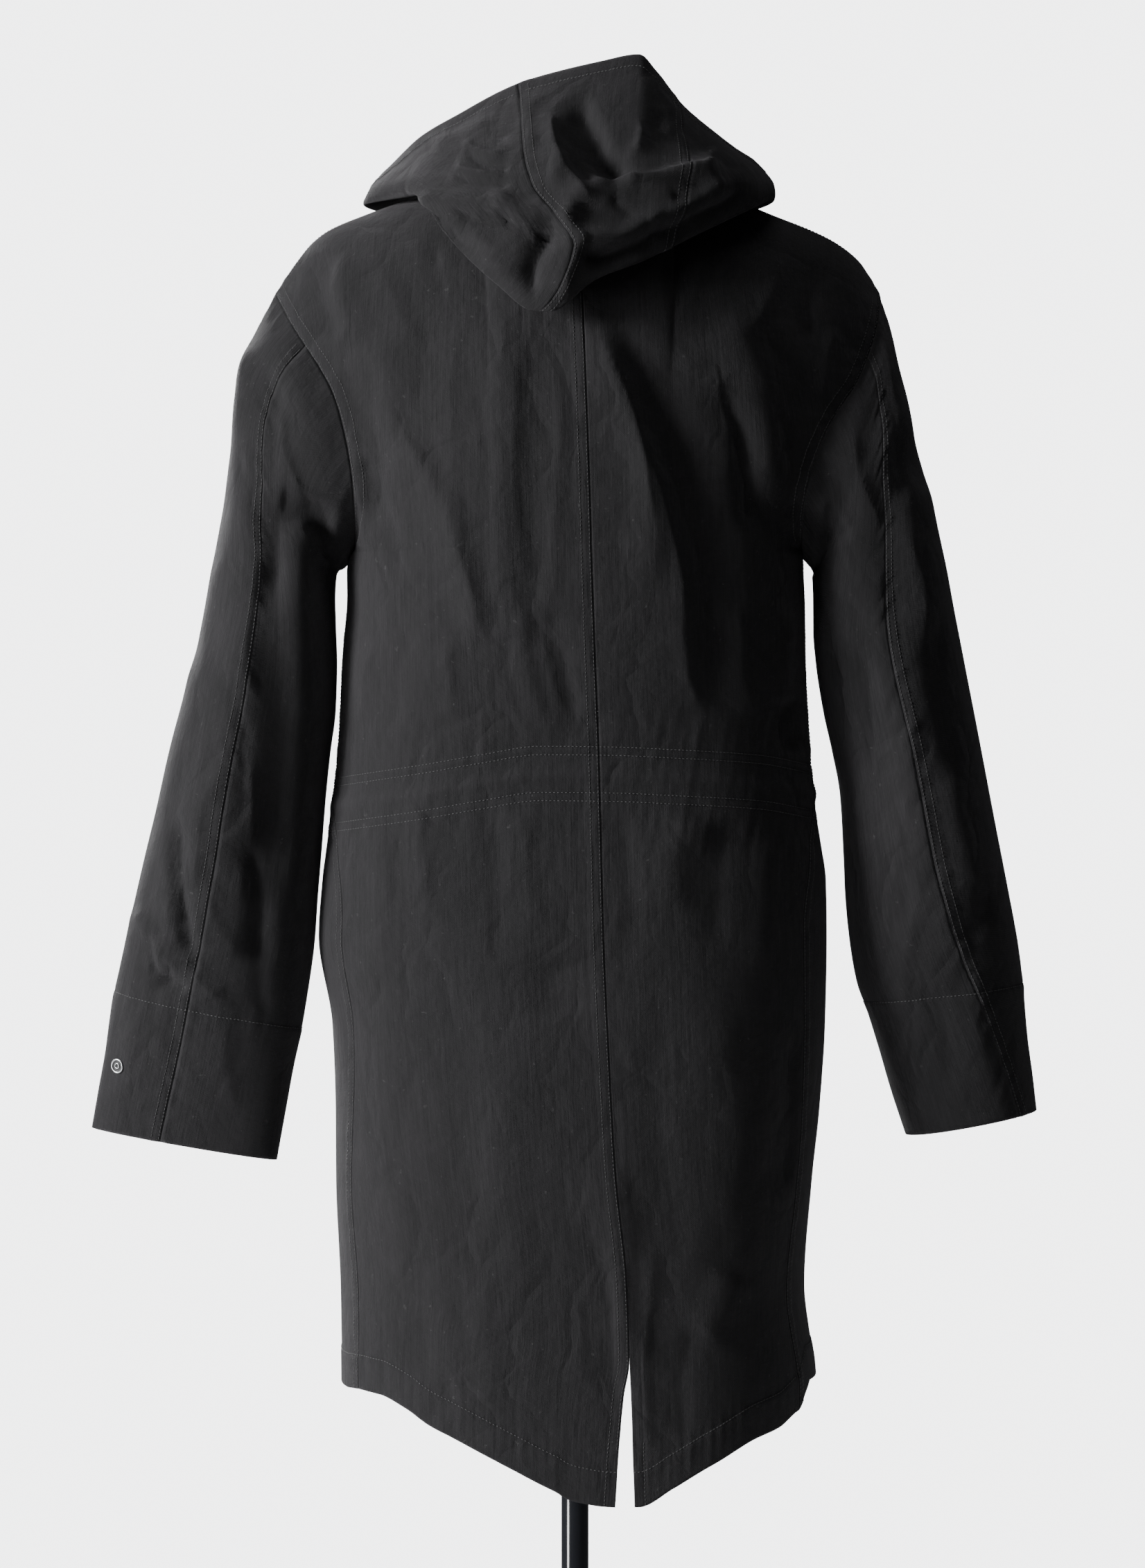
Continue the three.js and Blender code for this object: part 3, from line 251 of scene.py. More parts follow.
def panel_turn(side, front, u, z, opening=1):
    """Turn of a panel's points between its middle edge (u = 0) and the side seam (u = 1)."""
    seam = np.radians(read(SIDE_SEAM, "z", z, "turn")) * side
    if front:
        return mix(math.pi * side, seam, u)
    vent = read(VENT, "z", z, side_name(side)) * opening
    return mix(turn_of(read(CENTRE_BACK, "z", z, "seam") + vent, z), seam, u)


def lower_point(side, front, u, level):
    """Below the armhole: rows follow the hem at the bottom and the tunnel's fall at the waist."""
    hem_x = ring_point(panel_turn(side, front, u, np.full_like(u, HEM_LEVEL), 0), HEM_LEVEL)[..., 0]
    hem = read(HEM_BACK, "x", hem_x, "drop")
    if front:
        step = clamp01((u - HEM_STEP) / (1 - HEM_STEP))
        hem = mix(read(HEM_FRONT, "part", u, side_name(side)), hem, step)
    follow = clamp01((HEM_FADE_TOP - level) / (HEM_FADE_TOP - HEM_LEVEL))
    fall = read(TUNNEL_DROP, "x", hem_x, "drop") * bump(level, TUNNEL_Z, TUNNEL_REACH)
    z = level + hem * follow + fall
    return ring_point(panel_turn(side, front, u, z), z)


def top_point(side, front, u):
    """A panel's top edge: the neckline first, then the shoulder seam."""
    depth, drop = NECK_FRONT if front else NECK_BACK
    turn = clamp01(u / NECK_SHARE) * math.pi / 2
    fall = np.maximum(np.cos(turn), 0)
    middle = 0 if front else CENTRE_BACK["seam"][-1]
    across = mix(middle, NECK_HALF_WIDTH * side, np.sin(turn))
    neck = points_of(across, depth * fall, NECK_POINT_Z - drop * fall ** 1.5)
    part = clamp01((u - NECK_SHARE) / (1 - NECK_SHARE))
    across = read(SHOULDER, "part", part, side_name(side)) * side
    shoulder = points_of(across, SHOULDER_TIP_Y * part, read(SHOULDER, "part", part, "z"))
    return np.where((u <= NECK_SHARE)[..., None], neck, shoulder)


def armhole_point(side, part, front):
    """The armhole seam from the shoulder tip (part 0) to the underarm (part 1)."""
    rows = ARMHOLE_LEFT if side > 0 else ARMHOLE_RIGHT
    y = read(rows, "part", part, "y")
    y = np.where(front, mix(SHOULDER_TIP_Y, -y * FRONT_ARMHOLE, clamp01(part * 8)), y)
    return points_of(read(rows, "part", part, "x") * side, y, read(rows, "part", part, "z"))


def upper_point(side, front, u, v):
    """Above the armhole's foot: each row spans as much of the chest's ring as reaches the armhole."""
    armhole = armhole_point(side, 1 - v, front)
    tip_z = armhole_point(side, np.zeros_like(v), front)[..., 2]
    lean_at = lambda rise: np.maximum(1 - rise ** SHOULDER_ROUND, 0) ** (1 / SHOULDER_ROUND)
    edge_rise = (armhole[..., 2] - UNDERARM_Z) / (tip_z - UNDERARM_Z)
    edge_lean = np.maximum(lean_at(edge_rise), LEAST_LEAN)
    level = np.full_like(u, UNDERARM_Z)
    reach = (armhole[..., 1] - SHOULDER_TIP_Y * (1 - edge_lean)) / edge_lean * (-1 if front else 1)
    reach = clamp01(reach / read(BODY, "z", UNDERARM_Z, "front" if front else "back"))
    from_middle = np.arccos(reach ** (SQUARENESS / 2))
    edge_turn = side * (math.pi - from_middle if front else from_middle)
    middle_turn = panel_turn(side, front, 0 * u, level)
    climb = v ** CLIMB_START / (v ** CLIMB_START + (1 - v) ** CLIMB_END) * math.pi / 2
    middle_rise = np.sin(climb) ** (2 / SHOULDER_ROUND)

    def turn_over(share):
        bottom = ring_point(mix(middle_turn, edge_turn, share), level)
        top = top_point(side, front, share)
        rise = mix(middle_rise, edge_rise, share ** 1.5)
        x = mix(bottom[..., 0], top[..., 0], rise ** DRIFT)
        y = mix(top[..., 1], bottom[..., 1], lean_at(rise))
        return points_of(x, y, mix(bottom[..., 2], top[..., 2], rise))

    return turn_over(u) + (armhole - turn_over(np.ones_like(u))) * u[..., None] ** 3


def unit(vectors):
    return vectors / np.maximum(np.linalg.norm(vectors, axis=-1, keepdims=True), 1e-9)


def normals_of(points, flip):
    across = np.gradient(points, axis=1)
    up = np.gradient(points, axis=0)
    return unit(np.cross(across, up) * (-1 if flip else 1))


def fold_height(rows, x, z, softer=SOFTER):
    """Height of all folds of a table at places seen from behind or from the front."""
    height = np.zeros_like(x)
    for number, row in enumerate(zip(*rows.values())):
        x1, z1, x2, z2, bow, width, lean, rise = row
        length = math.hypot(x2 - x1, z2 - z1)
        along_x, along_z = (x2 - x1) / length, (z2 - z1) / length
        along = ((x - x1) * along_x + (z - z1) * along_z) / length
        across = (z - z1) * along_x - (x - x1) * along_z - bow * 4 * along * (1 - along)
        across = across + 0.12 * width * np.sin(along * 9 + number)
        spread = width * np.where(across > 0, 1 + lean, 1 - lean)
        ends = clamp01(along * 4 + 0.5) * clamp01((1 - along) * 4 + 0.5)
        keen = 2 - 0.85 * smooth(13, 5, width)
        rise = rise * mix(1, softer, smooth(9, 15, width))
        height += rise * np.exp(-np.abs(across / spread) ** keen) * ends * ends * (3 - 2 * ends)
    return height


def ripple(place, seed, pitch):
    """Uneven waves along a seam, from a few waves whose lengths don't fit each other."""
    waves = np.random.default_rng(seed)
    total = 0 * place
    for share in (0.62, 1, 1.37, 1.9):
        wave = np.sin(place / pitch / share * 2 * math.pi + waves.uniform(0, 6.28))
        total += wave * waves.uniform(0.5, 1)
    return total / 3


def lengths(points, axis):
    """Distance run along the rows (axis 1) or columns (axis 0) of a grid."""
    steps = np.linalg.norm(np.diff(points, axis=axis), axis=-1)
    start = np.zeros_like(np.take(steps, [0], axis=axis))
    return np.concatenate([start, np.cumsum(steps, axis=axis)], axis=axis)


# The grid's rows and columns lie closer at the hem, the tunnel and the seams, where rows of stitches dip.
LEVELS = np.concatenate([np.arange(HEM_LEVEL, 548, 1.7), np.arange(548, 950, 4), np.arange(950, 1034, 1.5),
                         np.arange(1034, UNDERARM_Z, 3.4), [UNDERARM_Z]])
CLIMBS = np.linspace(0, 1, 86)[1:] ** 0.62
BACK_ACROSS = np.concatenate([np.linspace(0, 0.062, 14)[:-1], np.linspace(0.062, 0.93, 104)[:-1],
                              np.linspace(0.93, 1, 10)])
FRONT_ACROSS = np.concatenate([np.linspace(0, 0.92, 34)[:-1], np.linspace(0.92, 1, 12)])
UNDERARM_ROW = len(LEVELS) - 1


class Panel:
    """A cloth piece as a grid of points in millimetres, with normals, cut sizes, and paleness from wear
    and from painted highlights.
    """

    def __init__(self, name, points, flip):
        self.name, self.points, self.flip = name, points, flip
        self.normals = normals_of(points, flip)
        self.flat_x, self.flat_z = lengths(points, 1), lengths(points, 0)
        self.wear_and_highlight = np.zeros(points.shape[:2])

    def lift(self, height, wear_and_highlight=0):
        self.points = self.points + self.normals * height[..., None]
        self.wear_and_highlight = clamp01(self.wear_and_highlight + wear_and_highlight)

    def at(self, i, j):
        """Points and normals at places between the grid's columns and rows."""
        i = np.clip(i, 0, self.points.shape[1] - 1.001)
        j = np.clip(j, 0, self.points.shape[0] - 1.001)
        i0, j0 = i.astype(int), j.astype(int)
        s, t = (i - i0)[:, None], (j - j0)[:, None]
        both = []
        for grid in (self.points, self.normals):
            lower = mix(grid[j0, i0], grid[j0, i0 + 1], s)
            both.append(mix(lower, mix(grid[j0 + 1, i0], grid[j0 + 1, i0 + 1], s), t))
        return both


def tunnel_distance(points):
    """Height above the middle of the drawcord tunnel, which falls a little to both sides."""
    return points[..., 2] - TUNNEL_Z - read(TUNNEL_DROP, "x", points[..., 0], "drop")


def body_panel(side, front):
    """One of the four body pieces, from the hem up to the neck and the armhole."""
    across = FRONT_ACROSS if front else BACK_ACROSS
    u, level = np.meshgrid(across, LEVELS)
    lower = lower_point(side, front, u, level)
    u, v = np.meshgrid(across, CLIMBS)
    points = np.concatenate([lower, upper_point(side, front, u, v)])
    flip = (not front) if side > 0 else front
    return Panel(f"{'front' if front else 'back'}_{side_name(side)}", points, flip)


panels = {(side, front): body_panel(side, front) for front in (False, True) for side in (1, -1)}


def share_normals(first, second, here, there):
    """Gives two panels the same normals along a seam, so that their folds don't part there."""
    shared = unit(first.normals[here] + second.normals[there])
    first.normals[here], second.normals[there] = shared, shared


def join_body():
    joined = slice(np.searchsorted(LEVELS, VENT_TOP_Z + 4), None)
    share_normals(panels[1, False], panels[-1, False], (joined, 0), (joined, 0))
    share_normals(panels[1, True], panels[-1, True], (slice(None), 0), (slice(None), 0))
    sides = slice(0, UNDERARM_ROW + 1)
    for side in (1, -1):
        share_normals(panels[side, False], panels[side, True], (sides, -1), (sides, -1))


def stitch_dip(distance, row):
    """How far a row of stitches pulls the cloth down around it."""
    return ROW_DIP * bump(distance, row, ROW_HALF_WIDTH)


def felled(distance, width, height=0.6):
    """A felled seam's height: a raised strip with a dip at each of its two rows of stitches."""
    strip = smooth(-0.3, 1.1, distance) * (1 - smooth(width, width + 1.6, distance))
    rows = bump(distance, FELL_FIRST_ROW, 0.9) + bump(distance, width - FELL_LAST_ROW, 0.9)
    return height * strip - 0.3 * rows


def armhole_distance(panel, side, front):
    """Straight distance of a panel's points from its armhole seam; rows far below it count as far."""
    seam = armhole_point(side, np.linspace(0, 1, 90), front)
    first = UNDERARM_ROW - ARMHOLE_NEAR_ROWS
    gap = np.linalg.norm(panel.points[first:, :, None] - seam[None, None], axis=-1).min(axis=-1)
    return np.concatenate([np.full((first, gap.shape[1]), FAR), gap])


join_body()
for (side, front), panel in panels.items():
    x, z = panel.points[..., 0], panel.points[..., 2]
    hem_gap = panel.flat_z
    top_gap = panel.flat_z[-1] - panel.flat_z
    edge_gap = armhole_distance(panel, side, front)
    upper = np.arange(len(panel.points))[:, None] > UNDERARM_ROW
    side_gap = panel.flat_x[:, -1:] - panel.flat_x
    inside = smooth(0, 14, edge_gap) * smooth(0, 16, top_gap) * np.where(upper, 1, smooth(0, 16, side_gap))
    height = fold_height(FRONT_FOLDS if front else BACK_FOLDS, x, z) * inside
    # The drawcord gathers the cloth above and below its tunnel.
    from_cord = tunnel_distance(panel.points)
    band = 1 - smooth(21, 24, np.abs(from_cord + 0.6))
    height += 1.3 * bump(from_cord, 0, 6) + 0.5 * band
    for row_offset in TUNNEL_ROWS:
        height -= stitch_dip(from_cord, row_offset)
    gather = bump(from_cord, 34, 22) + bump(from_cord, -36, 24) + 0.5 * bump(from_cord, 0, 14)
    patchy = 0.35 + 0.65 * smooth(-0.3, 0.5, ripple(x, 6, 70))
    height += 0.8 * gather * patchy * ripple(x + 0.2 * z, 4, 17)
    # Hem: turned up twice and stitched, so it is thicker and slightly puckered.
    height += 0.7 * (1 - smooth(HEM_TURN - 0.5, HEM_TURN + 1.5, hem_gap))
    height -= stitch_dip(hem_gap, HEM_TURN)
    height += 0.55 * bump(hem_gap, 22, 16) * ripple(x, 12, 13)
    # Felled strips: centre back on the left panel, the side seams on the fronts.
    if not front and side > 0:
        height += felled(panel.flat_x, FELL) * smooth(VENT_TOP_Z - 7, VENT_TOP_Z + 8, z)
    if not front:
        seam_gap = panel.flat_x
        height += 0.6 * bump(seam_gap, 5, 11) * ripple(z, 21, 15) * smooth(520, 560, z)
        height -= 0.4 * bump(seam_gap, VENT_TURN, 1.2) * (1 - smooth(540, 552, z))
    else:
        seam_gap = panel.flat_x[:, -1:] - panel.flat_x
        pucker = 0.6 * bump(seam_gap, 7, 10) * smooth(0, 5, seam_gap) * ripple(z, 25, 16)
        height += (felled(seam_gap, FELL) + pucker) * ~upper
    height += felled(edge_gap, ARMHOLE_FELL, 0.36) * smooth(0, 9, top_gap)
    pucker = 0.7 * bump(edge_gap, 9, 12) * smooth(0, 5, edge_gap) * ripple(z, 31 + side, 12)
    height += pucker * upper
    wear_and_highlight = 0.5 * (1 - smooth(0, 2.2, hem_gap)) + 0.3 * bump(from_cord, 0, 4)
    # Painted highlight: the backs are made paler along the ridge of one long crease, as if it caught the
    # light. The rest of this paleness is wear at the hem's edge and the tunnel's middle.
    if not front:
        wear_and_highlight = wear_and_highlight + fold_height(CREASE_HIGHLIGHT, x, z, 1)
    panel.lift(height, wear_and_highlight)
join_body()


class Value:
    """A socket that can be added, multiplied and so on, each as a Math node."""

    def __init__(self, nodes, socket):
        self.nodes, self.socket = nodes, socket

    def math(self, operation, first, second=0.0):
        return self.nodes.node("Math", {"operation": operation}, {0: first, 1: second})

    def __add__(self, other):
        return self.math("ADD", self, other)

    def __sub__(self, other):
        return self.math("SUBTRACT", self, other)

    def __rsub__(self, other):
        return self.math("SUBTRACT", other, self)

    def __mul__(self, other):
        return self.math("MULTIPLY", self, other)

    __radd__ = __add__
    __rmul__ = __mul__

    def sine(self):
        return self.math("SINE", self)

    def above(self, edge):
        return self.math("GREATER_THAN", self, edge)

    def between_0_and_1(self):
        return self.math("MINIMUM", self.math("MAXIMUM", self, 0.0), 1.0)


class Nodes:
    """The node tree of one material or world."""

    def __init__(self, owner):
        owner.use_nodes = True
        self.owner, self.tree = owner, owner.node_tree

    def fill(self, made, sockets):
        for name, value in sockets.items():
            if isinstance(value, Value):
                self.tree.links.new(value.socket, made.inputs[name])
            else:
                made.inputs[name].default_value = value

    def node(self, kind, settings, sockets, output=0):
        made = self.tree.nodes.new("ShaderNode" + kind)
        for name, value in settings.items():
            setattr(made, name, value)
        self.fill(made, sockets)
        return Value(self, made.outputs[output])

    def place(self):
        return self.node("TexCoord", {}, {}, "Object")

    def noise(self, vector, scale, detail, roughness):
        sockets = {"Vector": vector, "Scale": scale, "Detail": detail, "Roughness": roughness}
        return self.node("TexNoise", {}, sockets)

    def stretched(self, vector, scale):
        return self.node("Mapping", {}, {"Vector": vector, "Scale": scale})

    def colour(self, factor, first, second):
        return self.node("Mix", {"data_type": "RGBA"}, {0: factor, 6: first, 7: second}, 2)

    def bump(self, height, strength, distance, over=None):
        sockets = {"Height": height, "Strength": strength, "Distance": distance}
        if over is not None:
            sockets["Normal"] = over
        return self.node("Bump", {}, sockets)

    def surface(self, sockets):
        self.fill(self.tree.nodes["Principled BSDF"], sockets)
        return self.owner


YARN_PITCH = 0.0009
COTTON_DARK = (0.0032, 0.0031, 0.0038, 1)
COTTON_PALE = (0.0142, 0.0132, 0.0149, 1)
LINT = (0.2, 0.2, 0.2, 1)
SHEEN = (0.84, 0.81, 0.86, 1)


def black_cotton():
    """A plain weave, matt with a faint sheen, paler where it is worn and, as a painted highlight, along
    one crease's ridge, with a few specks of lint.
    """
    nodes = Nodes(bpy.data.materials.new("black_cotton"))
    place = nodes.place()
    cut = nodes.node("UVMap", {"uv_map": "cut"}, {})
    across = nodes.node("SeparateXYZ", {}, {0: cut}, 0)
    up = nodes.node("SeparateXYZ", {}, {0: cut}, 1)
    # Paleness per point: wear, and a painted highlight along one crease's ridge.
    wear_and_highlight = nodes.node("Attribute", {"attribute_name": "wear_and_highlight"}, {}, "Fac")
    crumple = nodes.noise(place, 38, 5, 0.6)
    cloud = nodes.noise(place, 7, 3, 0.55)
    fibre = nodes.noise(place, 900, 2, 0.6)
    slub = nodes.noise(cut, 420, 2, 0.7)
    yarn = 2 * math.pi / YARN_PITCH
    weave = (across * yarn).sine() * (up * yarn).sine()
    warp = nodes.noise(nodes.stretched(cut, (900, 45, 1)), 1, 3, 0.6)
    weft = nodes.noise(nodes.stretched(cut, (70, 1100, 1)), 1, 2, 0.6)
    streaks = nodes.noise(nodes.stretched(cut, (230, 13, 1)), 1, 3, 0.6)
    yarns = warp * 0.65 + weft * 0.35
    shade = (cloud - 0.5) * 0.9 + (crumple - 0.5) * 0.9 + weave * 0.05 + (yarns - 0.5) * 2 + 0.4
    # Paler where worn, and along one crease's ridge as a painted highlight.
    shade = shade + (streaks - 0.5) * 0.65 + wear_and_highlight * 0.5
    cloth_colour = nodes.colour(shade.between_0_and_1(), COTTON_DARK, COTTON_PALE)
    speck = nodes.noise(place, 260, 1, 0.3).above(0.76) * 0.5
    cloth_colour = nodes.colour(speck * (fibre - 0.4).between_0_and_1(), cloth_colour, LINT)
    # Small sharp creases: the edges of large cells, bent by a slow noise and fading in patches.
    wander = nodes.node("TexNoise", {}, {"Vector": place, "Scale": 11, "Detail": 3}, "Color")
    drift = nodes.node("Mix", {"data_type": "VECTOR"}, {0: 0.09, 4: place, 5: wander}, 1)
    tall = nodes.stretched(drift, (1, 1, 0.55))
    creases = nodes.node("TexVoronoi", {"feature": "DISTANCE_TO_EDGE"}, {"Vector": tall, "Scale": 24})
    patches = (nodes.noise(place, 9, 2, 0.5) - 0.25).between_0_and_1()
    crisp = creases.math("MINIMUM", creases, 0.16) * patches * 5
    soft = nodes.bump(crumple * 0.9 + crisp + streaks * 0.22, 0.8, 0.0034)
    threads = weave * 0.4 + yarns * 1.8 + slub * 0.5 + fibre * 0.4
    return nodes.surface({
        "Base Color": cloth_colour, "Roughness": 0.82 + (crumple - 0.5) * 0.2 + (yarns - 0.5) * 0.2,
        "Sheen Weight": 0.1, "Sheen Roughness": 0.38, "Sheen Tint": SHEEN, "Specular IOR Level": 0.3,
        "Normal": nodes.bump(threads, 0.6, 0.0005, over=soft),
    })


cotton = black_cotton()


def mesh_of_grid(name, points, flip):
    """A sheet of faces through a grid of points in millimetres."""
    bm = bmesh.new()
    bmesh.ops.create_grid(bm, x_segments=points.shape[1] - 1, y_segments=points.shape[0] - 1, size=0.5)
    if flip:
        bmesh.ops.reverse_faces(bm, faces=bm.faces)
    mesh = bpy.data.meshes.new(name)
    bm.to_mesh(mesh)
    bm.free()
    mesh.vertices.foreach_set("co", (points * MM).ravel())
    return mesh


def piece_of(mesh, materials):
    """A smooth piece of the part's one body, named like its mesh."""
    for material in materials:
        mesh.materials.append(material)
    mesh.shade_smooth()
    mesh.update()
    piece = bpy.data.objects.new(mesh.name, mesh)
    bpy.context.collection.objects.link(piece)
    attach(piece, "root")
    return piece


def sew(panel, rests_on):
    """Makes a panel's grid into a thin shell of cloth with its cut sizes as UV, and works out its sheet's
    width, length and area.
    """
    mesh = mesh_of_grid(panel.name + "_cloth", panel.points, panel.flip)
    corner = np.empty(len(mesh.loops), dtype=int)
    mesh.loops.foreach_get("vertex_index", corner)
    flat = np.stack([panel.flat_x, panel.flat_z], axis=-1).reshape(-1, 2) * MM
    mesh.uv_layers.new(name="cut").data.foreach_set("uv", flat[corner].ravel())
    # Paleness from wear and from a painted highlight along one crease, kept per point for the cloth's
    # colour.
    mesh.attributes.new("wear_and_highlight", "FLOAT", "POINT").data.foreach_set("value", panel.wear_and_highlight.ravel())
    piece = piece_of(mesh, [cotton])
    shell = piece.modifiers.new("thickness", "SOLIDIFY")
    shell.thickness = CLOTH * MM
    shell.offset = -1
    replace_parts(piece, panel.name)
    width, length = float(panel.flat_x.max()) * MM, float(panel.flat_z.max()) * MM
    across, up = np.diff(panel.points, axis=1)[:-1], np.diff(panel.points, axis=0)[:, :-1]
    area = float(np.linalg.norm(np.cross(across, up), axis=-1).sum()) * MM * MM
    area = min(max(area, LEAST_SHARE * width * length), width * length)


for panel in panels.values():
    sew(panel, ["form_torso"])

# Storm flap
# A straight strip of the same cotton, stitched along both long edges, that covers the front closure.
FLAP_HALF = 30
FLAP_LIFT = 1.8
FLAP_ROW = 5
FLAP_SIDE = np.array([8, 16, 21.5, 24, 25.5, 27, 28.6, 30])
FLAP_ACROSS = np.concatenate([-FLAP_SIDE[::-1], [0], FLAP_SIDE])


def flap_panel():
    """The flap's grid, taken across the middle of the two fronts and moved out from them."""
    right, left = panels[-1, True], panels[1, True]
    rows = len(left.points) - 2
    points, normals = [], []
    for j in range(rows):
        line = np.concatenate([right.points[j][::-1], left.points[j][1:]])
        facing = np.concatenate([right.normals[j][::-1], left.normals[j][1:]])
        points.append(np.stack([np.interp(FLAP_ACROSS, line[:, 0], axis) for axis in line.T], axis=-1))
        normals.append(np.stack([np.interp(FLAP_ACROSS, line[:, 0], axis) for axis in facing.T], axis=-1))
    panel = Panel("front_placket", np.array(points), False)
    panel.normals = np.array(normals)
    edge = FLAP_HALF - np.abs(FLAP_ACROSS + 0 * panel.flat_x)
    height = FLAP_LIFT - stitch_dip(edge, FLAP_ROW)
    height += 0.5 * bump(edge, 4, 8) * ripple(panel.flat_z, 41, 17)
    panel.lift(height, 0.5 * (1 - smooth(0, 2, edge)))
    return panel


flap = flap_panel()
sew(flap, ["front_left", "front_right"])

# Sleeves
# Drop-shoulder sleeves of two pieces, felled down the back, that hang empty and a little forward of
# the sides. The cuffs are plain, faced inside, with one row of stitches well above the edge.
SLEEVE_SQUARENESS = 2.15
SLEEVE_FELL = 9.2
CUFF_RING_PITCH = 38
HEAD_ROWS = 4
UNDER_SEAM_TURN = 210
SLEEVE_LEFT = table("outerX outerZ innerX innerZ depth centreY", [
    (241.6, 1380, 179, 1167, 85, 0), (254.5, 1356, 188.5, 1157, 88, 0), (267.3, 1328, 191.5, 1156, 88, 0),
    (271.6, 1293, 193, 1151, 87, 2), (273.5, 1258, 193.8, 1134, 86, 3), (280.5, 1216, 193, 1108, 84, 5),
    (289, 1174, 192, 1080, 82, 6), (299.5, 1112, 193, 1043, 79, 8), (310, 1066, 197, 1010, 76, 10),
    (323, 1020, 200.5, 975, 72, 11), (337.5, 960, 204, 930, 68, 12), (348, 917, 207, 893, 63, 12),
    (357, 878, 209.5, 857, 58, 12), (366.5, 836, 214.5, 820, 52, 11), (374, 797, 220.5, 786, 44, 9),
    (378, 769, 227, 757, 37, 7), (383.5, 740, 233.5, 722, 30, 5), (389.5, 707, 241, 681, 24, 3),
])
SLEEVE_RIGHT = table("outerX outerZ innerX innerZ depth centreY", [
    (245.8, 1380, 183.5, 1167, 85, 0), (253.5, 1356, 193, 1155.5, 88, 0), (260, 1328, 194, 1152, 88, 0),
    (267, 1298, 192, 1150, 87, 2), (273, 1263, 192.5, 1134, 86, 3), (285, 1218, 192.5, 1108, 84, 5),
    (296, 1169, 194.5, 1080, 82, 6), (307, 1114, 200, 1043, 79, 8), (315, 1072, 207, 1010, 76, 10),
    (323, 1030, 213, 975, 73, 12), (337.5, 953, 215.5, 930, 70, 14), (347.5, 902, 217.5, 893, 66, 14),
    (356, 856, 221.5, 854, 62, 14), (359.5, 829, 227.5, 822, 58, 13), (361.5, 803, 236, 800, 55, 12),
    (364, 778, 245, 772, 53, 10), (368, 750, 255, 738, 51, 8), (371.4, 722, 267, 702, 49, 6),
])
BACK_SEAM = {
    1: table("part turn", [(0, 45), (0.22, 66), (0.4, 82), (0.6, 84), (0.8, 82), (1, 78)]),
    -1: table("part turn", [(0, 45), (0.22, 72), (0.4, 93), (0.6, 88), (0.8, 70), (1, 50)]),
}
SLEEVE_FOLDS = {
    1: table(FOLD, [
        (266, 1325, 260, 1180, 5, 12, 0.3, 6), (232, 1290, 220, 1180, -4, 14, 0, -3),
        (230, 1210, 190, 1195, 4, 13, 0, -6), (236, 1180, 238, 900, -5, 20, 0.2, -9),
        (262, 1100, 276, 940, 3, 16, 0, 4), (300, 1080, 308, 946, 2, 20, 0, 4),
        (339, 864, 321, 822, 5, 7, 0.4, -6.5), (332, 853, 302, 846, 3, 5, 0.4, 4.5),
        (313, 950, 302, 844, 3, 6, 0.4, -4.5), (323, 950, 313, 856, 3, 7, 0.3, 4),
        (257, 935, 248, 846, -4, 9, 0.3, -5), (346, 880, 338, 838, -3, 6, 0.3, 4),
        (262, 1330, 258, 1230, 4, 6, 0.4, 2.4),
        (248, 1312, 238, 1130, -4, 18, 0.2, -9), (232, 1280, 214, 1210, 5, 7, 0.3, 2.4),
        (222, 1226, 196, 1212, 3, 5, 0.3, 2.2), (214, 1190, 196, 1160, 3, 6, 0.3, 2),
        (252, 1160, 256, 1060, 4, 7, 0.3, 2.4), (268, 1060, 262, 960, -5, 8, 0.3, -2.4),
        (284, 1160, 292, 1060, 4, 9, 0.3, 2), (300, 1010, 318, 930, 4, 9, 0.3, -2.4),
        (282, 990, 300, 900, 5, 9, 0.3, 2.4), (256, 1000, 262, 900, -4, 7, 0.3, 2.2),
        (330, 900, 310, 880, 3, 7, 0.3, 2.4), (344, 884, 330, 830, -4, 6, 0.3, 2.4),
        (318, 880, 296, 850, 4, 7, 0.3, -2.2), (290, 900, 268, 850, 4, 8, 0.3, 2),
        (324, 838, 308, 822, 3, 5, 0.4, -4), (300, 836, 284, 818, 3, 6, 0.3, 3),
        (250, 880, 246, 800, 3, 8, 0.2, -2), (280, 830, 274, 730, 4, 9, 0.2, 1.8),
        (320, 800, 322, 720, -4, 9, 0.2, -1.8), (350, 800, 356, 740, 3, 8, 0.2, 1.6),
    ]),
    -1: table(FOLD, [
        (-228, 1376, -260, 1254, -6, 13, 0.3, 6), (-240, 1316, -250, 1120, 4, 18, 0, -7),
        (-272, 1220, -282, 1110, -3, 16, 0.2, 5), (-196, 1236, -214, 1180, 3, 12, 0, -5),
        (-232, 1090, -246, 900, 4, 20, 0.2, -6), (-230, 1370, -252, 1290, -5, 5, 0.4, 2.4),
        (-246, 1300, -258, 1210, -4, 6, 0.3, -2.4), (-218, 1260, -240, 1190, 4, 7, 0.3, 2.4),
        (-204, 1216, -222, 1176, 3, 5, 0.3, 2.4), (-198, 1200, -212, 1160, 3, 5, 0.3, -2),
        (-262, 1180, -276, 1090, -4, 7, 0.3, 2.2), (-240, 1150, -246, 1050, 4, 8, 0.3, 2.2),
        (-222, 1090, -230, 1000, -4, 7, 0.3, -2.2), (-286, 1100, -300, 1000, 4, 9, 0.3, -2.2),
        (-264, 1040, -280, 930, 5, 9, 0.3, 2.4), (-300, 990, -322, 900, 5, 10, 0.3, 2.4),
        (-250, 980, -262, 880, -5, 9, 0.3, -2.2), (-330, 900, -310, 860, -4, 8, 0.3, -2.2),
        (-290, 900, -304, 850, 4, 8, 0.3, 2.2), (-268, 880, -262, 810, 3, 8, 0.3, 2),
        (-320, 830, -326, 750, 4, 10, 0.2, 1.8), (-286, 820, -296, 740, -4, 9, 0.2, -1.8),
    ]),
}


def sleeve_rings(side):
    rows = SLEEVE_LEFT if side > 0 else SLEEVE_RIGHT
    return {**rows, "row": np.arange(len(rows["outerX"]), dtype=float)}


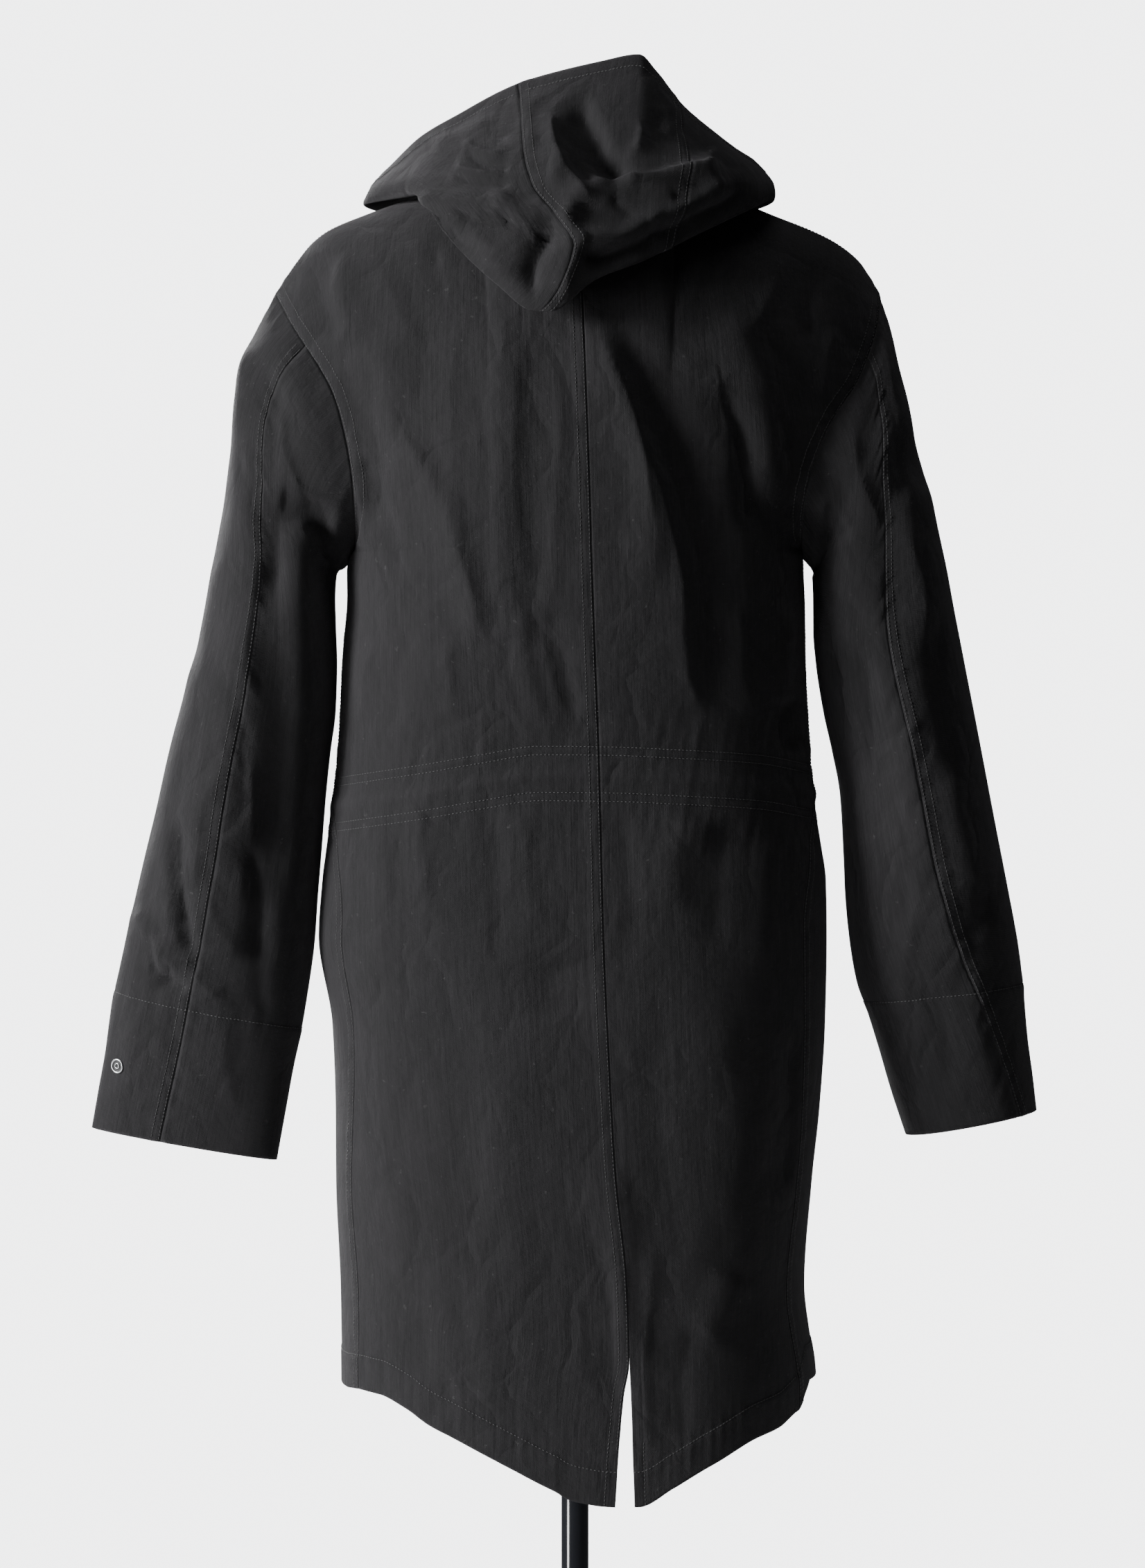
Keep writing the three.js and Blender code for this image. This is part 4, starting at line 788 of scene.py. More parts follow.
def ring_of_sleeve(side, turn, row):
    rings = sleeve_rings(side)
    across = 0.5 + signed_power(np.cos(np.radians(turn)), 2 / SLEEVE_SQUARENESS) / 2
    deep = signed_power(np.sin(np.radians(turn)), 2 / SLEEVE_SQUARENESS)
    x = mix(read(rings, "row", row, "innerX"), read(rings, "row", row, "outerX"), across) * side
    z = mix(read(rings, "row", row, "innerZ"), read(rings, "row", row, "outerZ"), across)
    y = read(rings, "row", row, "centreY") + read(rings, "row", row, "depth") * deep
    return points_of(x, y, z)


def sleeve_point(side, turn, row):
    """A point of the sleeve by its turn from the outer edge over the back, rings from the armhole."""
    front = (turn < 0) | (turn > 180)
    part = np.where(front, np.abs(np.where(turn > 180, turn - 360, turn)), turn) / 180
    loop = armhole_point(side, part, front)
    shift = loop - ring_of_sleeve(side, turn, 0 * row)
    return ring_of_sleeve(side, turn, row) + shift * (clamp01(1 - row / HEAD_ROWS) ** 2)[..., None]


def cuff_row(side, turn):
    """Ring of the cuff's row of stitches, which slants a little round the sleeve."""
    across = 0.5 + np.cos(np.radians(turn)) / 2
    return mix(13.95, 13.45, across) if side > 0 else mix(13.6, 13.2, across)


def sleeve_panel(side, under):
    """One piece of a sleeve. Its grid is closer at the cuff's row of stitches and the felled seam."""
    end_turn = UNDER_SEAM_TURN if under else UNDER_SEAM_TURN - 360
    last = len(SLEEVE_LEFT["outerX"]) - 1
    rows = np.concatenate([np.linspace(0, 12.6, 134)[:-1], np.linspace(12.6, 14.6, 32)[:-1],
                           np.linspace(14.6, last, 24)])
    near = np.linspace(0, 0.09, 12)[:-1] if not under else np.linspace(0, 0.05, 4)[:-1]
    columns = np.concatenate([near, np.linspace(near[-1] + 0.02, 1, 50 if under else 84)])
    share, row = np.meshgrid(columns, rows)
    turn = mix(read(BACK_SEAM[side], "part", row / last, "turn"), end_turn, share)
    points = sleeve_point(side, turn, row)
    name = f"sleeve_{side_name(side)}_{'under' if under else 'top'}"
    panel = Panel(name, points, (end_turn > 0) == (side > 0))
    panel.turn, panel.row = turn, row
    return panel


sleeves = {(side, under): sleeve_panel(side, under) for side in (1, -1) for under in (False, True)}


def join_sleeves():
    for side in (1, -1):
        top, under = sleeves[side, False], sleeves[side, True]
        every = slice(None)
        share_normals(top, under, (every, 0), (every, 0))
        share_normals(top, under, (every, -1), (every, -1))


join_sleeves()
for (side, under), panel in sleeves.items():
    x, z = panel.points[..., 0], panel.points[..., 2]
    last = panel.row.max()
    back_facing = clamp01(panel.normals[..., 1] * 2 + 0.4)
    front_facing = clamp01(-panel.normals[..., 1] * 2 - 0.1)
    ends = clamp01(panel.row / 1.5) * smooth(last + 0.2, last - 2, panel.row)
    height = fold_height(SLEEVE_FOLDS[side], x, z) * back_facing * ends
    # The hidden front half has folds of the same kind, mirrored from the other sleeve.
    height += fold_height(SLEEVE_FOLDS[-side], -x, z - 30) * front_facing * ends
    seam_gap = panel.flat_x
    if not under:
        height += felled(seam_gap, SLEEVE_FELL, 0.42) * smooth(0.1, 0.5, panel.row)
    height += 0.7 * bump(seam_gap, 4, 11) * ripple(panel.flat_z, 51 + side, 15)
    from_cuff = (cuff_row(side, panel.turn) - panel.row) * CUFF_RING_PITCH
    height += 0.5 * smooth(1.5, -0.5, from_cuff) - 0.45 * bump(from_cuff, 0, 1.5)
    height += 0.7 * bump(from_cuff, -2, 14) * ripple(panel.flat_x, 55 + side, 16)
    head_gap = panel.flat_z
    pucker = 0.9 * bump(head_gap, 10, 9) * smooth(0, 5, head_gap)
    height += pucker * ripple(panel.flat_x, 61 + side, 14)
    panel.lift(height, 0.6 * smooth(last - 0.08, last, panel.row))
join_sleeves()

for panel in sleeves.values():
    sew(panel, ["back_left" if "left" in panel.name else "back_right"])

# Hood
# A three-piece hood that lies back in a bag behind the neck: two sides and a centre strip, felled
# together, with a turned and stitched brim. It rests on the shoulders and the back.
HOOD_START = 0.022
HOOD_STAND = 22
HOOD_SPREAD = 1.1
UNDER_PUSH = 7.5
SEAM_GAP = 0.3
HOOD_FELL = 9.4
BRIM_TURN = 13
HOOD_SEAMS = (13 / 32, 18 / 32)
HOOD_FOLD = table("share x y z", [
    (-1, -8, -92, 1406), (-0.8, -62, -94, 1430), (-0.65, -118, -64, 1448), (-0.5, -157, -6, 1455),
    (-0.4, -146, 56, 1444), (-0.25, -95, 106, 1413), (-0.12, -53, 128, 1390), (-0.05, -16.5, 142, 1374),
    (0.03, 17, 150, 1349), (0.1, 34.5, 147, 1350), (0.18, 60, 138, 1370), (0.27, 84, 124, 1393),
    (0.36, 103.5, 106, 1417), (0.43, 124, 60, 1451), (0.5, 168, 0, 1452), (0.65, 128, -66, 1449),
    (0.8, 66, -94, 1430), (1, 8, -92, 1406),
])
HOOD_BULGE = table("share x y z", [
    (-1, -11, -96, 1416), (-0.8, -68, -100, 1446), (-0.65, -124, -70, 1463), (-0.5, -161, -6, 1469),
    (-0.4, -150, 52, 1466), (-0.25, -112, 103, 1464), (-0.12, -62, 121, 1460), (0, -8, 133, 1450),
    (0.1, 34, 130, 1448), (0.2, 66, 118, 1453), (0.3, 96, 97, 1458), (0.4, 128, 64, 1463),
    (0.5, 167, 0, 1463), (0.65, 132, -70, 1463), (0.8, 70, -100, 1446), (1, 11, -96, 1416),
])
HOOD_RIM = table("share x y z", [
    (-1, -8, -92, 1425), (-0.8, -58, -88, 1461), (-0.65, -108, -58, 1478), (-0.5, -147, -10, 1486),
    (-0.4, -131, 20, 1493), (-0.3, -110, 30, 1507), (-0.2, -86, 38, 1526), (-0.12, -64, 43, 1553),
    (-0.08, -51, 46, 1565), (0, -20, 48, 1559), (0.12, 43, 44, 1543), (0.25, 96, 32, 1518),
    (0.37, 123, 16, 1505), (0.46, 149, 2, 1483), (0.5, 157, -4, 1476), (0.65, 120, -60, 1470),
    (0.8, 62, -88, 1457), (1, 8, -92, 1425),
])
HOOD_FOLDS = table(FOLD, [
    (124, 1444, 50, 1438, 2, 9, 0.4, 5), (60, 1438, 0, 1424, 4, 8, 0.4, 5),
    (8, 1426, -10, 1404, 3, 8, 0.3, 5),
    (116, 1432, 52, 1424, 2, 8, 0.3, -5), (54, 1424, 12, 1408, 4, 8, 0.3, -5),
    (-5, 1522, -35, 1458, 7, 12, 0.3, -14), (-18, 1496, -36, 1461, 3, 6, 0.4, -6),
    (20, 1508, -9, 1440, 6, 7, 0.4, 5), (6, 1494, -14, 1452, 5, 5, 0.3, -4),
    (-36, 1456, -110, 1472, 5, 8, 0.6, 9), (-42, 1449, -108, 1450, -4, 9, 0.2, -4),
    (-27, 1455, 4, 1424, 4, 9, 0.3, 5), (6, 1490, 20, 1448, -4, 10, 0.3, 5),
    (-10, 1406, -62, 1424, 4, 9, 0.3, 5), (-60, 1424, -116, 1456, 3, 9, 0.3, 5),
    (-6, 1390, -62, 1411, 5, 8, 0.2, -6), (-60, 1411, -132, 1450, 4, 8, 0.2, -6),
    (14, 1418, 34, 1366, 5, 7, 0.3, -9), (-8, 1404, 9, 1362, 3, 9, 0.2, 4),
    (34, 1416, 60, 1380, -4, 9, 0.3, 3),
    (91, 1429, 54, 1425, 3, 4.5, 0.4, -5), (58, 1425, 36, 1406, -2, 4.5, 0.4, -5),
    (62, 1436, 40, 1422, 2, 5, 0.4, 3.6), (78, 1412, 56, 1398, 3, 6, 0.3, 2.6),
    (70, 1392, 40, 1382, 3, 5, 0.3, 2), (100, 1420, 76, 1398, 3, 5, 0.3, -2.2),
    (84, 1481, 52, 1467, 4, 4.5, 0.5, -5.5), (86, 1489, 56, 1476, 4, 6, 0.3, 4),
    (92, 1460, 54, 1452, 4, 4.5, 0.5, -5.5), (92, 1468, 58, 1461, 3, 6, 0.3, 4),
    (112, 1497, 70, 1510, 4, 9, 0.3, 2.4), (46, 1520, 60, 1490, -4, 8, 0.3, -2.4),
    (30, 1532, 34, 1480, 3, 7, 0.3, 2.2), (-62, 1548, -80, 1514, 3, 7, 0.3, 2.6),
    (-44, 1476, -50, 1500, 3, 5, 0.4, 4), (-70, 1512, -62, 1488, 2, 5, 0.3, -3.4),
    (-84, 1506, -108, 1486, 3, 7, 0.3, -2.6),
    (-110, 1476, -134, 1472, 3, 6, 0.3, -2.4), (-76, 1440, -100, 1446, 3, 5, 0.3, -2.2),
    (-30, 1440, -46, 1424, 3, 6, 0.3, -3), (10, 1500, -6, 1484, 3, 5, 0.3, -3),
])
HOOD_SEAM_SWAY = table("up shift", [
    (0, 0), (0.48, 0), (0.6, -0.03), (0.66, -0.052), (0.71, -0.06), (0.76, -0.036), (0.8, -0.014),
    (0.86, -0.004), (1, 0),
])


def neck_point(share):
    """The neck seam, from the right front edge (0) round the back to the left front edge (1)."""
    quarter = np.clip(share, HOOD_START, 1 - HOOD_START) * 4
    from_back = np.abs(quarter - 2)
    front = from_back > 1
    u = np.where(front, 2 - from_back, from_back) * NECK_SHARE
    found = np.zeros(share.shape + (3,))
    for side in (1, -1):
        for before in (True, False):
            here = (front == before) & ((quarter >= 2) == (side > 0))
            found[here] = top_point(side, before, u[here])
    return found


def curve_through(points, share):
    """A smooth curve through a few points, by its share of the way from the first to the last."""
    place = np.clip(share * (len(points) - 1), 0, len(points) - 1 - 1e-6)
    i = place.astype(int)
    t = (place - i)[..., None]
    stack = np.array(points)
    pick = lambda k: np.take_along_axis(stack, np.clip(k, 0, len(points) - 1)[None, ..., None], axis=0)[0]
    a, b, c, d = pick(i - 1), pick(i), pick(i + 1), pick(i + 2)
    bend = t ** 2 * (2 * a - 5 * b + 4 * c - d) + t ** 3 * (3 * b - a - 3 * c + d)
    return b + (t * (c - a) + bend) / 2


def hood_point(across, up):
    """A point of the hood, which stands up from the neck seam, folds over and ends at its brim."""
    share = across * 2 - 1
    place = lambda rows: np.stack([read(rows, "share", share, axis) for axis in "xyz"], axis=-1)
    neck = neck_point(across) + np.array([0, 0, SEAM_GAP])
    stand = neck * np.array([HOOD_SPREAD, HOOD_SPREAD, 1]) + np.array([0, 0, HOOD_STAND])
    fold = place(HOOD_FOLD)
    under = (stand + fold) / 2
    under[..., 1] += UNDER_PUSH * np.cos(share * math.pi)
    under[..., 2] += UNDER_PUSH / 2 * np.abs(np.sin(share * math.pi))
    return curve_through([neck, stand, under, fold, place(HOOD_BULGE), place(HOOD_RIM)], up)


def hood_panel(name, start, end, columns):
    share, up = np.meshgrid(np.linspace(0, 1, columns), np.linspace(0, 1, 130))
    sway = read(HOOD_SEAM_SWAY, "up", up, "shift")
    start = start + (sway if start == HOOD_SEAMS[1] else 0)
    end = end + (sway if end == HOOD_SEAMS[1] else 0)
    across = mix(start, end, share)
    panel = Panel(name, hood_point(across, up), True)
    panel.up = up
    return panel


hood = [hood_panel("hood_right", 0, HOOD_SEAMS[0], 100), hood_panel("hood_centre", *HOOD_SEAMS, 66),
        hood_panel("hood_left", HOOD_SEAMS[1], 1, 108)]


def join_hood():
    for first, second in zip(hood, hood[1:]):
        share_normals(first, second, (slice(None), -1), (slice(None), 0))


join_hood()
for panel in hood:
    x, z = panel.points[..., 0], panel.points[..., 2]
    outside = smooth(0.56, 0.66, panel.up) * smooth(1.02, 0.95, panel.up)
    height = fold_height(HOOD_FOLDS, x, z, 1) * outside * smooth(0, 0.3, panel.normals[..., 1])
    rim_gap = panel.flat_z[-1] - panel.flat_z
    height += 0.6 * smooth(BRIM_TURN + 2, BRIM_TURN, rim_gap) - 0.4 * bump(rim_gap, BRIM_TURN, 1.5)
    height += 0.5 * bump(rim_gap, 12, 10) * ripple(panel.flat_x, 71, 12) * outside
    if panel.name == "hood_centre":
        from_left = panel.flat_x[:, -1:] - panel.flat_x
        height += felled(from_left, HOOD_FELL, 0.4) * smooth(0.05, 0.12, panel.up)
        height += 0.6 * bump(from_left, 4, 10) * ripple(panel.flat_z, 75, 13) * outside
        height += felled(panel.flat_x, HOOD_FELL, 0.4) * smooth(0.05, 0.12, panel.up)
    panel.lift(height, 0.5 * smooth(2.5, 0, rim_gap))
join_hood()

for panel in hood:
    sew(panel, ["back_left", "back_right"])

# Stitching
# Every row of stitches is black polyester thread, about eight stitches to 25 mm, pulled down into
# the cloth at both ends. Each stitch is a short plump strand. The body's, the sleeves' and the hood's
# are three joined meshes.
STITCH_LENGTH = 2.5
STITCH_PITCH = 3.1
THREAD = 0.34
THREAD_SECTION = 4
THREAD_RINGS = ((-0.5, -0.1, 0.6), (0, 0.24, 1.1), (0.5, -0.1, 0.6))
ARMHOLE_ROWS = (1.8, 9.2)
SHOULDER_ROW = 3
CUFF_GRID_ROW = 150
THREAD_DARK = (0.006, 0.006, 0.0065, 1)
THREAD_PALE = (0.024, 0.024, 0.026, 1)


def black_thread():
    nodes = Nodes(bpy.data.materials.new("black_thread"))
    twist = nodes.noise(nodes.place(), 1400, 1, 0.5)
    return nodes.surface({
        "Base Color": nodes.colour(twist, THREAD_DARK, THREAD_PALE), "Roughness": 0.42 + twist * 0.2,
        "Sheen Weight": 0.2, "Normal": nodes.bump(twist, 0.4, 0.0002),
    })


thread = black_thread()


class Stitching:
    """Rows of stitches on several panels that are joined into one mesh."""

    def __init__(self):
        self.rows = []

    def on(self, panel, columns, rows):
        """Lays stitches along a line that is given by its places between a panel's columns and rows."""
        points, normals = panel.at(columns, rows)
        run = np.concatenate([[0], np.cumsum(np.linalg.norm(np.diff(points, axis=0), axis=-1))])
        at = np.arange(STITCH_PITCH / 2, run[-1] - STITCH_PITCH / 2, STITCH_PITCH)
        if len(at) < 2:
            return
        follow = lambda line, place: np.stack([np.interp(place, run, axis) for axis in line.T], axis=-1)
        along = unit(follow(points, at + 1) - follow(points, at - 1))
        self.rows.append((follow(points, at), along, unit(follow(normals, at))))

    def down(self, panel, distance, goal, rows, first=0):
        """Stitches down a panel, where a distance that grows or shrinks along its rows has one value."""
        columns = []
        for line in distance[rows][:, first:]:
            grows = line[-1] > line[0]
            place = np.interp(goal, line if grows else line[::-1], np.arange(len(line)))
            columns.append(first + (place if grows else len(line) - 1 - place))
        self.on(panel, np.array(columns), rows.astype(float))

    def across(self, panel, distance, goal, columns):
        """Stitches across a panel, where a distance that grows up its columns has one value."""
        rows = []
        for i, value in zip(columns, np.broadcast_to(goal, len(columns))):
            rows.append(np.interp(value, distance[:, i], np.arange(len(distance))))
        self.on(panel, columns.astype(float), np.array(rows))

    def build(self, name):
        place, along, out = (np.concatenate(rows) for rows in zip(*self.rows))
        aside = np.cross(along, out)
        rings = []
        for share, height, width in THREAD_RINGS:
            centre = place + along * STITCH_LENGTH * share + out * height
            for corner in range(THREAD_SECTION):
                turn = (corner + 0.5) * 2 * math.pi / THREAD_SECTION
                rings.append(centre + (aside * math.cos(turn) + out * math.sin(turn)) * THREAD * width)
        faces = []
        for low in range(0, 8, 4):
            for k in range(4):
                after = (k + 1) % 4
                faces.append((low + k, low + after, low + 4 + after, low + 4 + k))
        faces += [(3, 2, 1, 0), (8, 9, 10, 11)]
        every = (np.array(faces)[None] + np.arange(len(place))[:, None, None] * len(rings)).reshape(-1, 4)
        mesh = bpy.data.meshes.new(name)
        mesh.from_pydata((np.stack(rings, axis=1).reshape(-1, 3) * MM).tolist(), [], every.tolist())
        piece_of(mesh, [thread])


body_stitches = Stitching()
vent_row = int(np.searchsorted(LEVELS, VENT_TOP_Z + 3))
for (side, front), panel in panels.items():
    row_count, column_count = panel.points.shape[:2]
    columns = np.arange(column_count)
    for row_offset in TUNNEL_ROWS:
        body_stitches.across(panel, tunnel_distance(panel.points)[:UNDERARM_ROW], row_offset, columns)
    body_stitches.across(panel, panel.flat_z, HEM_TURN, columns)
    if not front:
        body_stitches.down(panel, panel.flat_x, VENT_TURN, np.arange(0, vent_row + 4))
    if not front and side > 0:
        for gap in (FELL_FIRST_ROW, FELL - FELL_LAST_ROW):
            body_stitches.down(panel, panel.flat_x, gap, np.arange(vent_row, row_count))
    if front:
        for gap in (FELL_FIRST_ROW, FELL - FELL_LAST_ROW):
            side_gap = panel.flat_x[:, -1:] - panel.flat_x
            body_stitches.down(panel, side_gap, gap, np.arange(0, UNDERARM_ROW + 1))
    # Armhole: two rows on the body side, a little way in from the seam.
    edge_gap = armhole_distance(panel, side, front)
    for gap in ARMHOLE_ROWS:
        rows = np.arange(UNDERARM_ROW + 3, row_count - 1)
        body_stitches.down(panel, edge_gap, gap, rows, first=column_count // 2)
    # Shoulder seam: one row beside it on the backs.
    if not front:
        columns = np.arange(int(column_count * 0.36), column_count - 3)
        body_stitches.across(panel, panel.flat_z - panel.flat_z[-1], -SHOULDER_ROW, columns)
for edge in (FLAP_ROW, 2 * FLAP_HALF - FLAP_ROW):
    body_stitches.down(flap, flap.flat_x, edge, np.arange(len(flap.points)))
body_stitches.build("body_stitching")

sleeve_stitches = Stitching()
for (side, under), panel in sleeves.items():
    row_count, column_count = panel.points.shape[:2]
    if not under:
        for gap in (FELL_FIRST_ROW, SLEEVE_FELL - FELL_LAST_ROW):
            sleeve_stitches.down(panel, panel.flat_x, gap, np.arange(2, row_count))
    # Each column keeps its turn nearly the same down the cuff, so one of its rows stands for all.
    cuff = cuff_row(side, panel.turn[CUFF_GRID_ROW])
    sleeve_stitches.across(panel, panel.row, cuff, np.arange(column_count))
sleeve_stitches.build("sleeve_stitching")

hood_stitches = Stitching()
for panel in hood:
    row_count, column_count = panel.points.shape[:2]
    rim_gap = panel.flat_z - panel.flat_z[-1]
    hood_stitches.across(panel, rim_gap, -BRIM_TURN, np.arange(1, column_count - 1))
    if panel.name == "hood_centre":
        for gap in (FELL_FIRST_ROW, HOOD_FELL - FELL_LAST_ROW):
            for from_seam in (panel.flat_x[:, -1:] - panel.flat_x, panel.flat_x):
                hood_stitches.down(panel, from_seam, gap, np.arange(8, row_count - 1))
hood_stitches.build("hood_stitching")

# Cuff snaps
# One pressed snap of polished gunmetal on each cuff: a flanged cap with a rolled rim, a sunk dish,
# an inner ring and a dark socket. It stays fastened as shown.
SNAP_ROW = 15.3
SNAP_TURN = {1: 37, -1: -35}
SNAP_DISH = 4.5 * MM
SNAP_DISH_DEPTH = 0.7 * MM
SNAP_LIFT = 0.1 * MM
MERGE = 1e-6
METAL_DARK = (0.42, 0.43, 0.44, 1)
METAL_PALE = (0.6, 0.61, 0.62, 1)
OXIDE_DARK = (0.008, 0.008, 0.009, 1)
OXIDE_PALE = (0.03, 0.03, 0.032, 1)
SNAP_PROFILE = [
    (0, 0.3), (1.1, 0.3), (1.35, 0.42), (1.5, 0.95), (1.75, 1.2), (2.1, 1.2), (2.35, 0.95), (2.5, 0.4),
    (3.4, 0.34), (4.1, 0.42), (4.5, 0.9), (4.85, 1.32), (5.3, 1.45), (5.75, 1.3), (6.0, 0.9), (6.0, 0.35),
    (5.7, 0.05), (0, 0.0),
]


def gun_metal():
    nodes = Nodes(bpy.data.materials.new("gun_metal"))
    brushed = nodes.noise(nodes.place(), 1800, 2, 0.6)
    smear = nodes.noise(nodes.place(), 160, 3, 0.6)
    return nodes.surface({
        "Base Color": nodes.colour(smear, METAL_DARK, METAL_PALE), "Metallic": 1.0,
        "Roughness": 0.26 + brushed * 0.14, "Normal": nodes.bump(brushed, 0.05, 0.0001),
    })


def dark_oxide():
    nodes = Nodes(bpy.data.materials.new("dark_oxide"))
    grime = nodes.noise(nodes.place(), 900, 3, 0.6)
    return nodes.surface({
        "Base Color": nodes.colour(grime, OXIDE_DARK, OXIDE_PALE), "Roughness": 0.55 + grime * 0.2,
    })


def turned(name, profile, materials, segments=96):
    """A solid of revolution about +Z, from rows of radius and height in millimetres."""
    bm = bmesh.new()
    verts = [bm.verts.new((radius * MM, 0, height * MM)) for radius, height in profile]
    edges = [bm.edges.new(pair) for pair in zip(verts, verts[1:])]
    bmesh.ops.spin(bm, geom=verts + edges, cent=(0, 0, 0), axis=(0, 0, 1), angle=2 * math.pi,
                   steps=segments, use_merge=True)
    bmesh.ops.remove_doubles(bm, verts=bm.verts, dist=MERGE)
    bmesh.ops.recalc_face_normals(bm, faces=bm.faces)
    mesh = bpy.data.meshes.new(name)
    bm.to_mesh(mesh)
    bm.free()
    return piece_of(mesh, materials)


snap_materials = [gun_metal(), dark_oxide()]
for side in (1, -1):
    panel = sleeves[side, False]
    gap = np.abs(panel.row - SNAP_ROW) * 5 + np.abs(panel.turn - SNAP_TURN[side])
    j, i = np.unravel_index(np.argmin(gap), gap.shape)
    place, out = panel.points[j, i] * MM, Vector(panel.normals[j, i])
    snap = turned(f"snap_{side_name(side)}_metal", SNAP_PROFILE, snap_materials, 64)
    for face in snap.data.polygons:
        reach = math.hypot(face.center.x, face.center.y)
        face.material_index = int(reach < SNAP_DISH and face.center.z < SNAP_DISH_DEPTH)
    snap.data.transform(out.to_track_quat("Z", "Y").to_matrix().to_4x4())
    snap.data.transform(Matrix.Translation(Vector(place) + out * SNAP_LIFT))
    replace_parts(snap, f"snap_{side_name(side)}")

# Dress form and stand
# The form is a padded torso in black jersey with a turned neck cap; it stands on a gloss black
# tube, which screws into a collar under the torso and into a heavy round base.
FORM = table("z left right back front square", [
    (752, 150, 150, 92, 88, 2.2), (770, 166, 166, 104, 98, 2.2), (860, 168, 168, 108, 100, 2.2),
    (985, 140, 140, 92, 88, 2.2), (1100, 156, 156, 104, 102, 2.2), (1210, 161, 161, 108, 106, 2.2),
    (1300, 168, 168, 104, 94, 2.2), (1360, 177, 176, 90, 78, 2.1), (1400, 179, 178, 76, 66, 2),
    (1420, 176, 174, 68, 52, 1.8), (1432, 177, 171, 62, 46, 1.5), (1441, 167, 157, 56, 43, 1.25),
    (1450, 143, 137, 52, 41, 1.05), (1457, 121, 117, 50, 40, 0.9), (1463, 99, 96, 49, 40, 0.85),
    (1469, 73, 71, 49, 42, 1.1), (1478, 57, 56, 49, 44, 1.7), (1500, 52, 52, 50, 50, 2),
    (1524, 51, 51, 50, 50, 2),
])


FORM_COLUMNS = 72
FORM_ROWS = 99
KNIT_WALE = 0.0012
KNIT_COURSE = 0.0016
JERSEY_DARK = (0.01, 0.01, 0.011, 1)
JERSEY_PALE = (0.026, 0.026, 0.028, 1)
GLOSS_DARK = (0.006, 0.0065, 0.008, 1)
GLOSS_PALE = (0.014, 0.015, 0.018, 1)


def form_jersey():
    nodes = Nodes(bpy.data.materials.new("form_jersey"))
    place = nodes.place()
    x = nodes.node("SeparateXYZ", {}, {0: place}, 0)
    z = nodes.node("SeparateXYZ", {}, {0: place}, 2)
    knit = (z * (2 * math.pi / KNIT_COURSE)).sine() * (x * (2 * math.pi / KNIT_WALE)).sine()
    pile = nodes.noise(place, 700, 2, 0.6)
    return nodes.surface({
        "Base Color": nodes.colour(pile, JERSEY_DARK, JERSEY_PALE), "Roughness": 0.9, "Sheen Weight": 0.25,
        "Sheen Roughness": 0.5, "Normal": nodes.bump(knit * 0.5 + pile * 0.5, 0.3, 0.0004),
    })


def black_gloss():
    nodes = Nodes(bpy.data.materials.new("black_gloss"))
    peel = nodes.noise(nodes.place(), 90, 2, 0.4)
    dust = nodes.noise(nodes.place(), 14, 4, 0.6)
    return nodes.surface({
        "Base Color": nodes.colour(dust, GLOSS_DARK, GLOSS_PALE), "Roughness": 0.1 + dust * 0.14,
        "Coat Weight": 0.6, "Coat Roughness": 0.06, "Normal": nodes.bump(peel, 0.06, 0.0008),
    })


def form_mesh():
    turn, z = np.meshgrid(np.linspace(0, 2 * math.pi, FORM_COLUMNS + 1),
                          np.linspace(FORM["z"][0], FORM["z"][-1], FORM_ROWS + 1))
    square = 2 / read(FORM, "z", z, "square")
    width = np.where(np.sin(turn) > 0, read(FORM, "z", z, "left"), read(FORM, "z", z, "right"))
    depth = np.where(np.cos(turn) > 0, read(FORM, "z", z, "back"), read(FORM, "z", z, "front"))
    # The shoulders are drawn in by one part in a hundred, so that they stay just under the cloth.
    shrink = 1 - 0.01 * smooth(1400, 1430, z) * smooth(1480, 1465, z)
    x = width * signed_power(np.sin(turn), square) * shrink
    points = points_of(x, depth * signed_power(np.cos(turn), square), z)
    mesh = mesh_of_grid("form_jersey", points, False)
    bm = bmesh.new()
    bm.from_mesh(mesh)
    bmesh.ops.remove_doubles(bm, verts=bm.verts, dist=MERGE)
    rims = [edge for edge in bm.edges if edge.is_boundary]
    bmesh.ops.holes_fill(bm, edges=rims, sides=0)
    bmesh.ops.recalc_face_normals(bm, faces=bm.faces)
    bm.to_mesh(mesh)
    bm.free()
    return mesh


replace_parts(piece_of(form_mesh(), [form_jersey()]), "form_torso")

STAND = {
    "neck_cap": (96, [(0, 1524.3), (52, 1524.3), (53, 1525.3), (53, 1531), (51.5, 1533), (42.4, 1537),
                      (21, 1539.3), (0, 1539.3)]),
    "pole_collar": (96, [(0, 725.7), (23, 725.7), (24, 726.7), (24, 750.7), (23, 751.7), (0, 751.7)]),
    "pole": (96, [(0, 12.3), (11, 12.3), (11, 300), (11, 725.4), (0, 725.4)]),
    "base": (160, [(0, 0), (168.6, 0), (170, 1.4), (170, 8.6), (169, 10.6), (167, 11.7), (164, 12),
                   (0, 12)]),
}
gloss = black_gloss()
for name, (segments, profile) in STAND.items():
    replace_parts(turned(name + "_gloss", profile, [gloss], segments), name)

# Studio
# A pale floor round the base and a pale backdrop, lit by four soft square lamps: the key and a low
# one on the camera's left, a weak one above and one behind the parka. The camera is level, 3.2 m away.
FLOOR_RADIUS = 1.5
FLOOR_DROP = 0.0005
FLOOR_DARK = (0.74, 0.74, 0.745, 1)
FLOOR_PALE = (0.78, 0.78, 0.785, 1)
FILL_COLOUR = (0.85, 0.87, 0.9, 1)
BACKDROP_COLOUR = (0.985, 0.99, 1.0, 1)


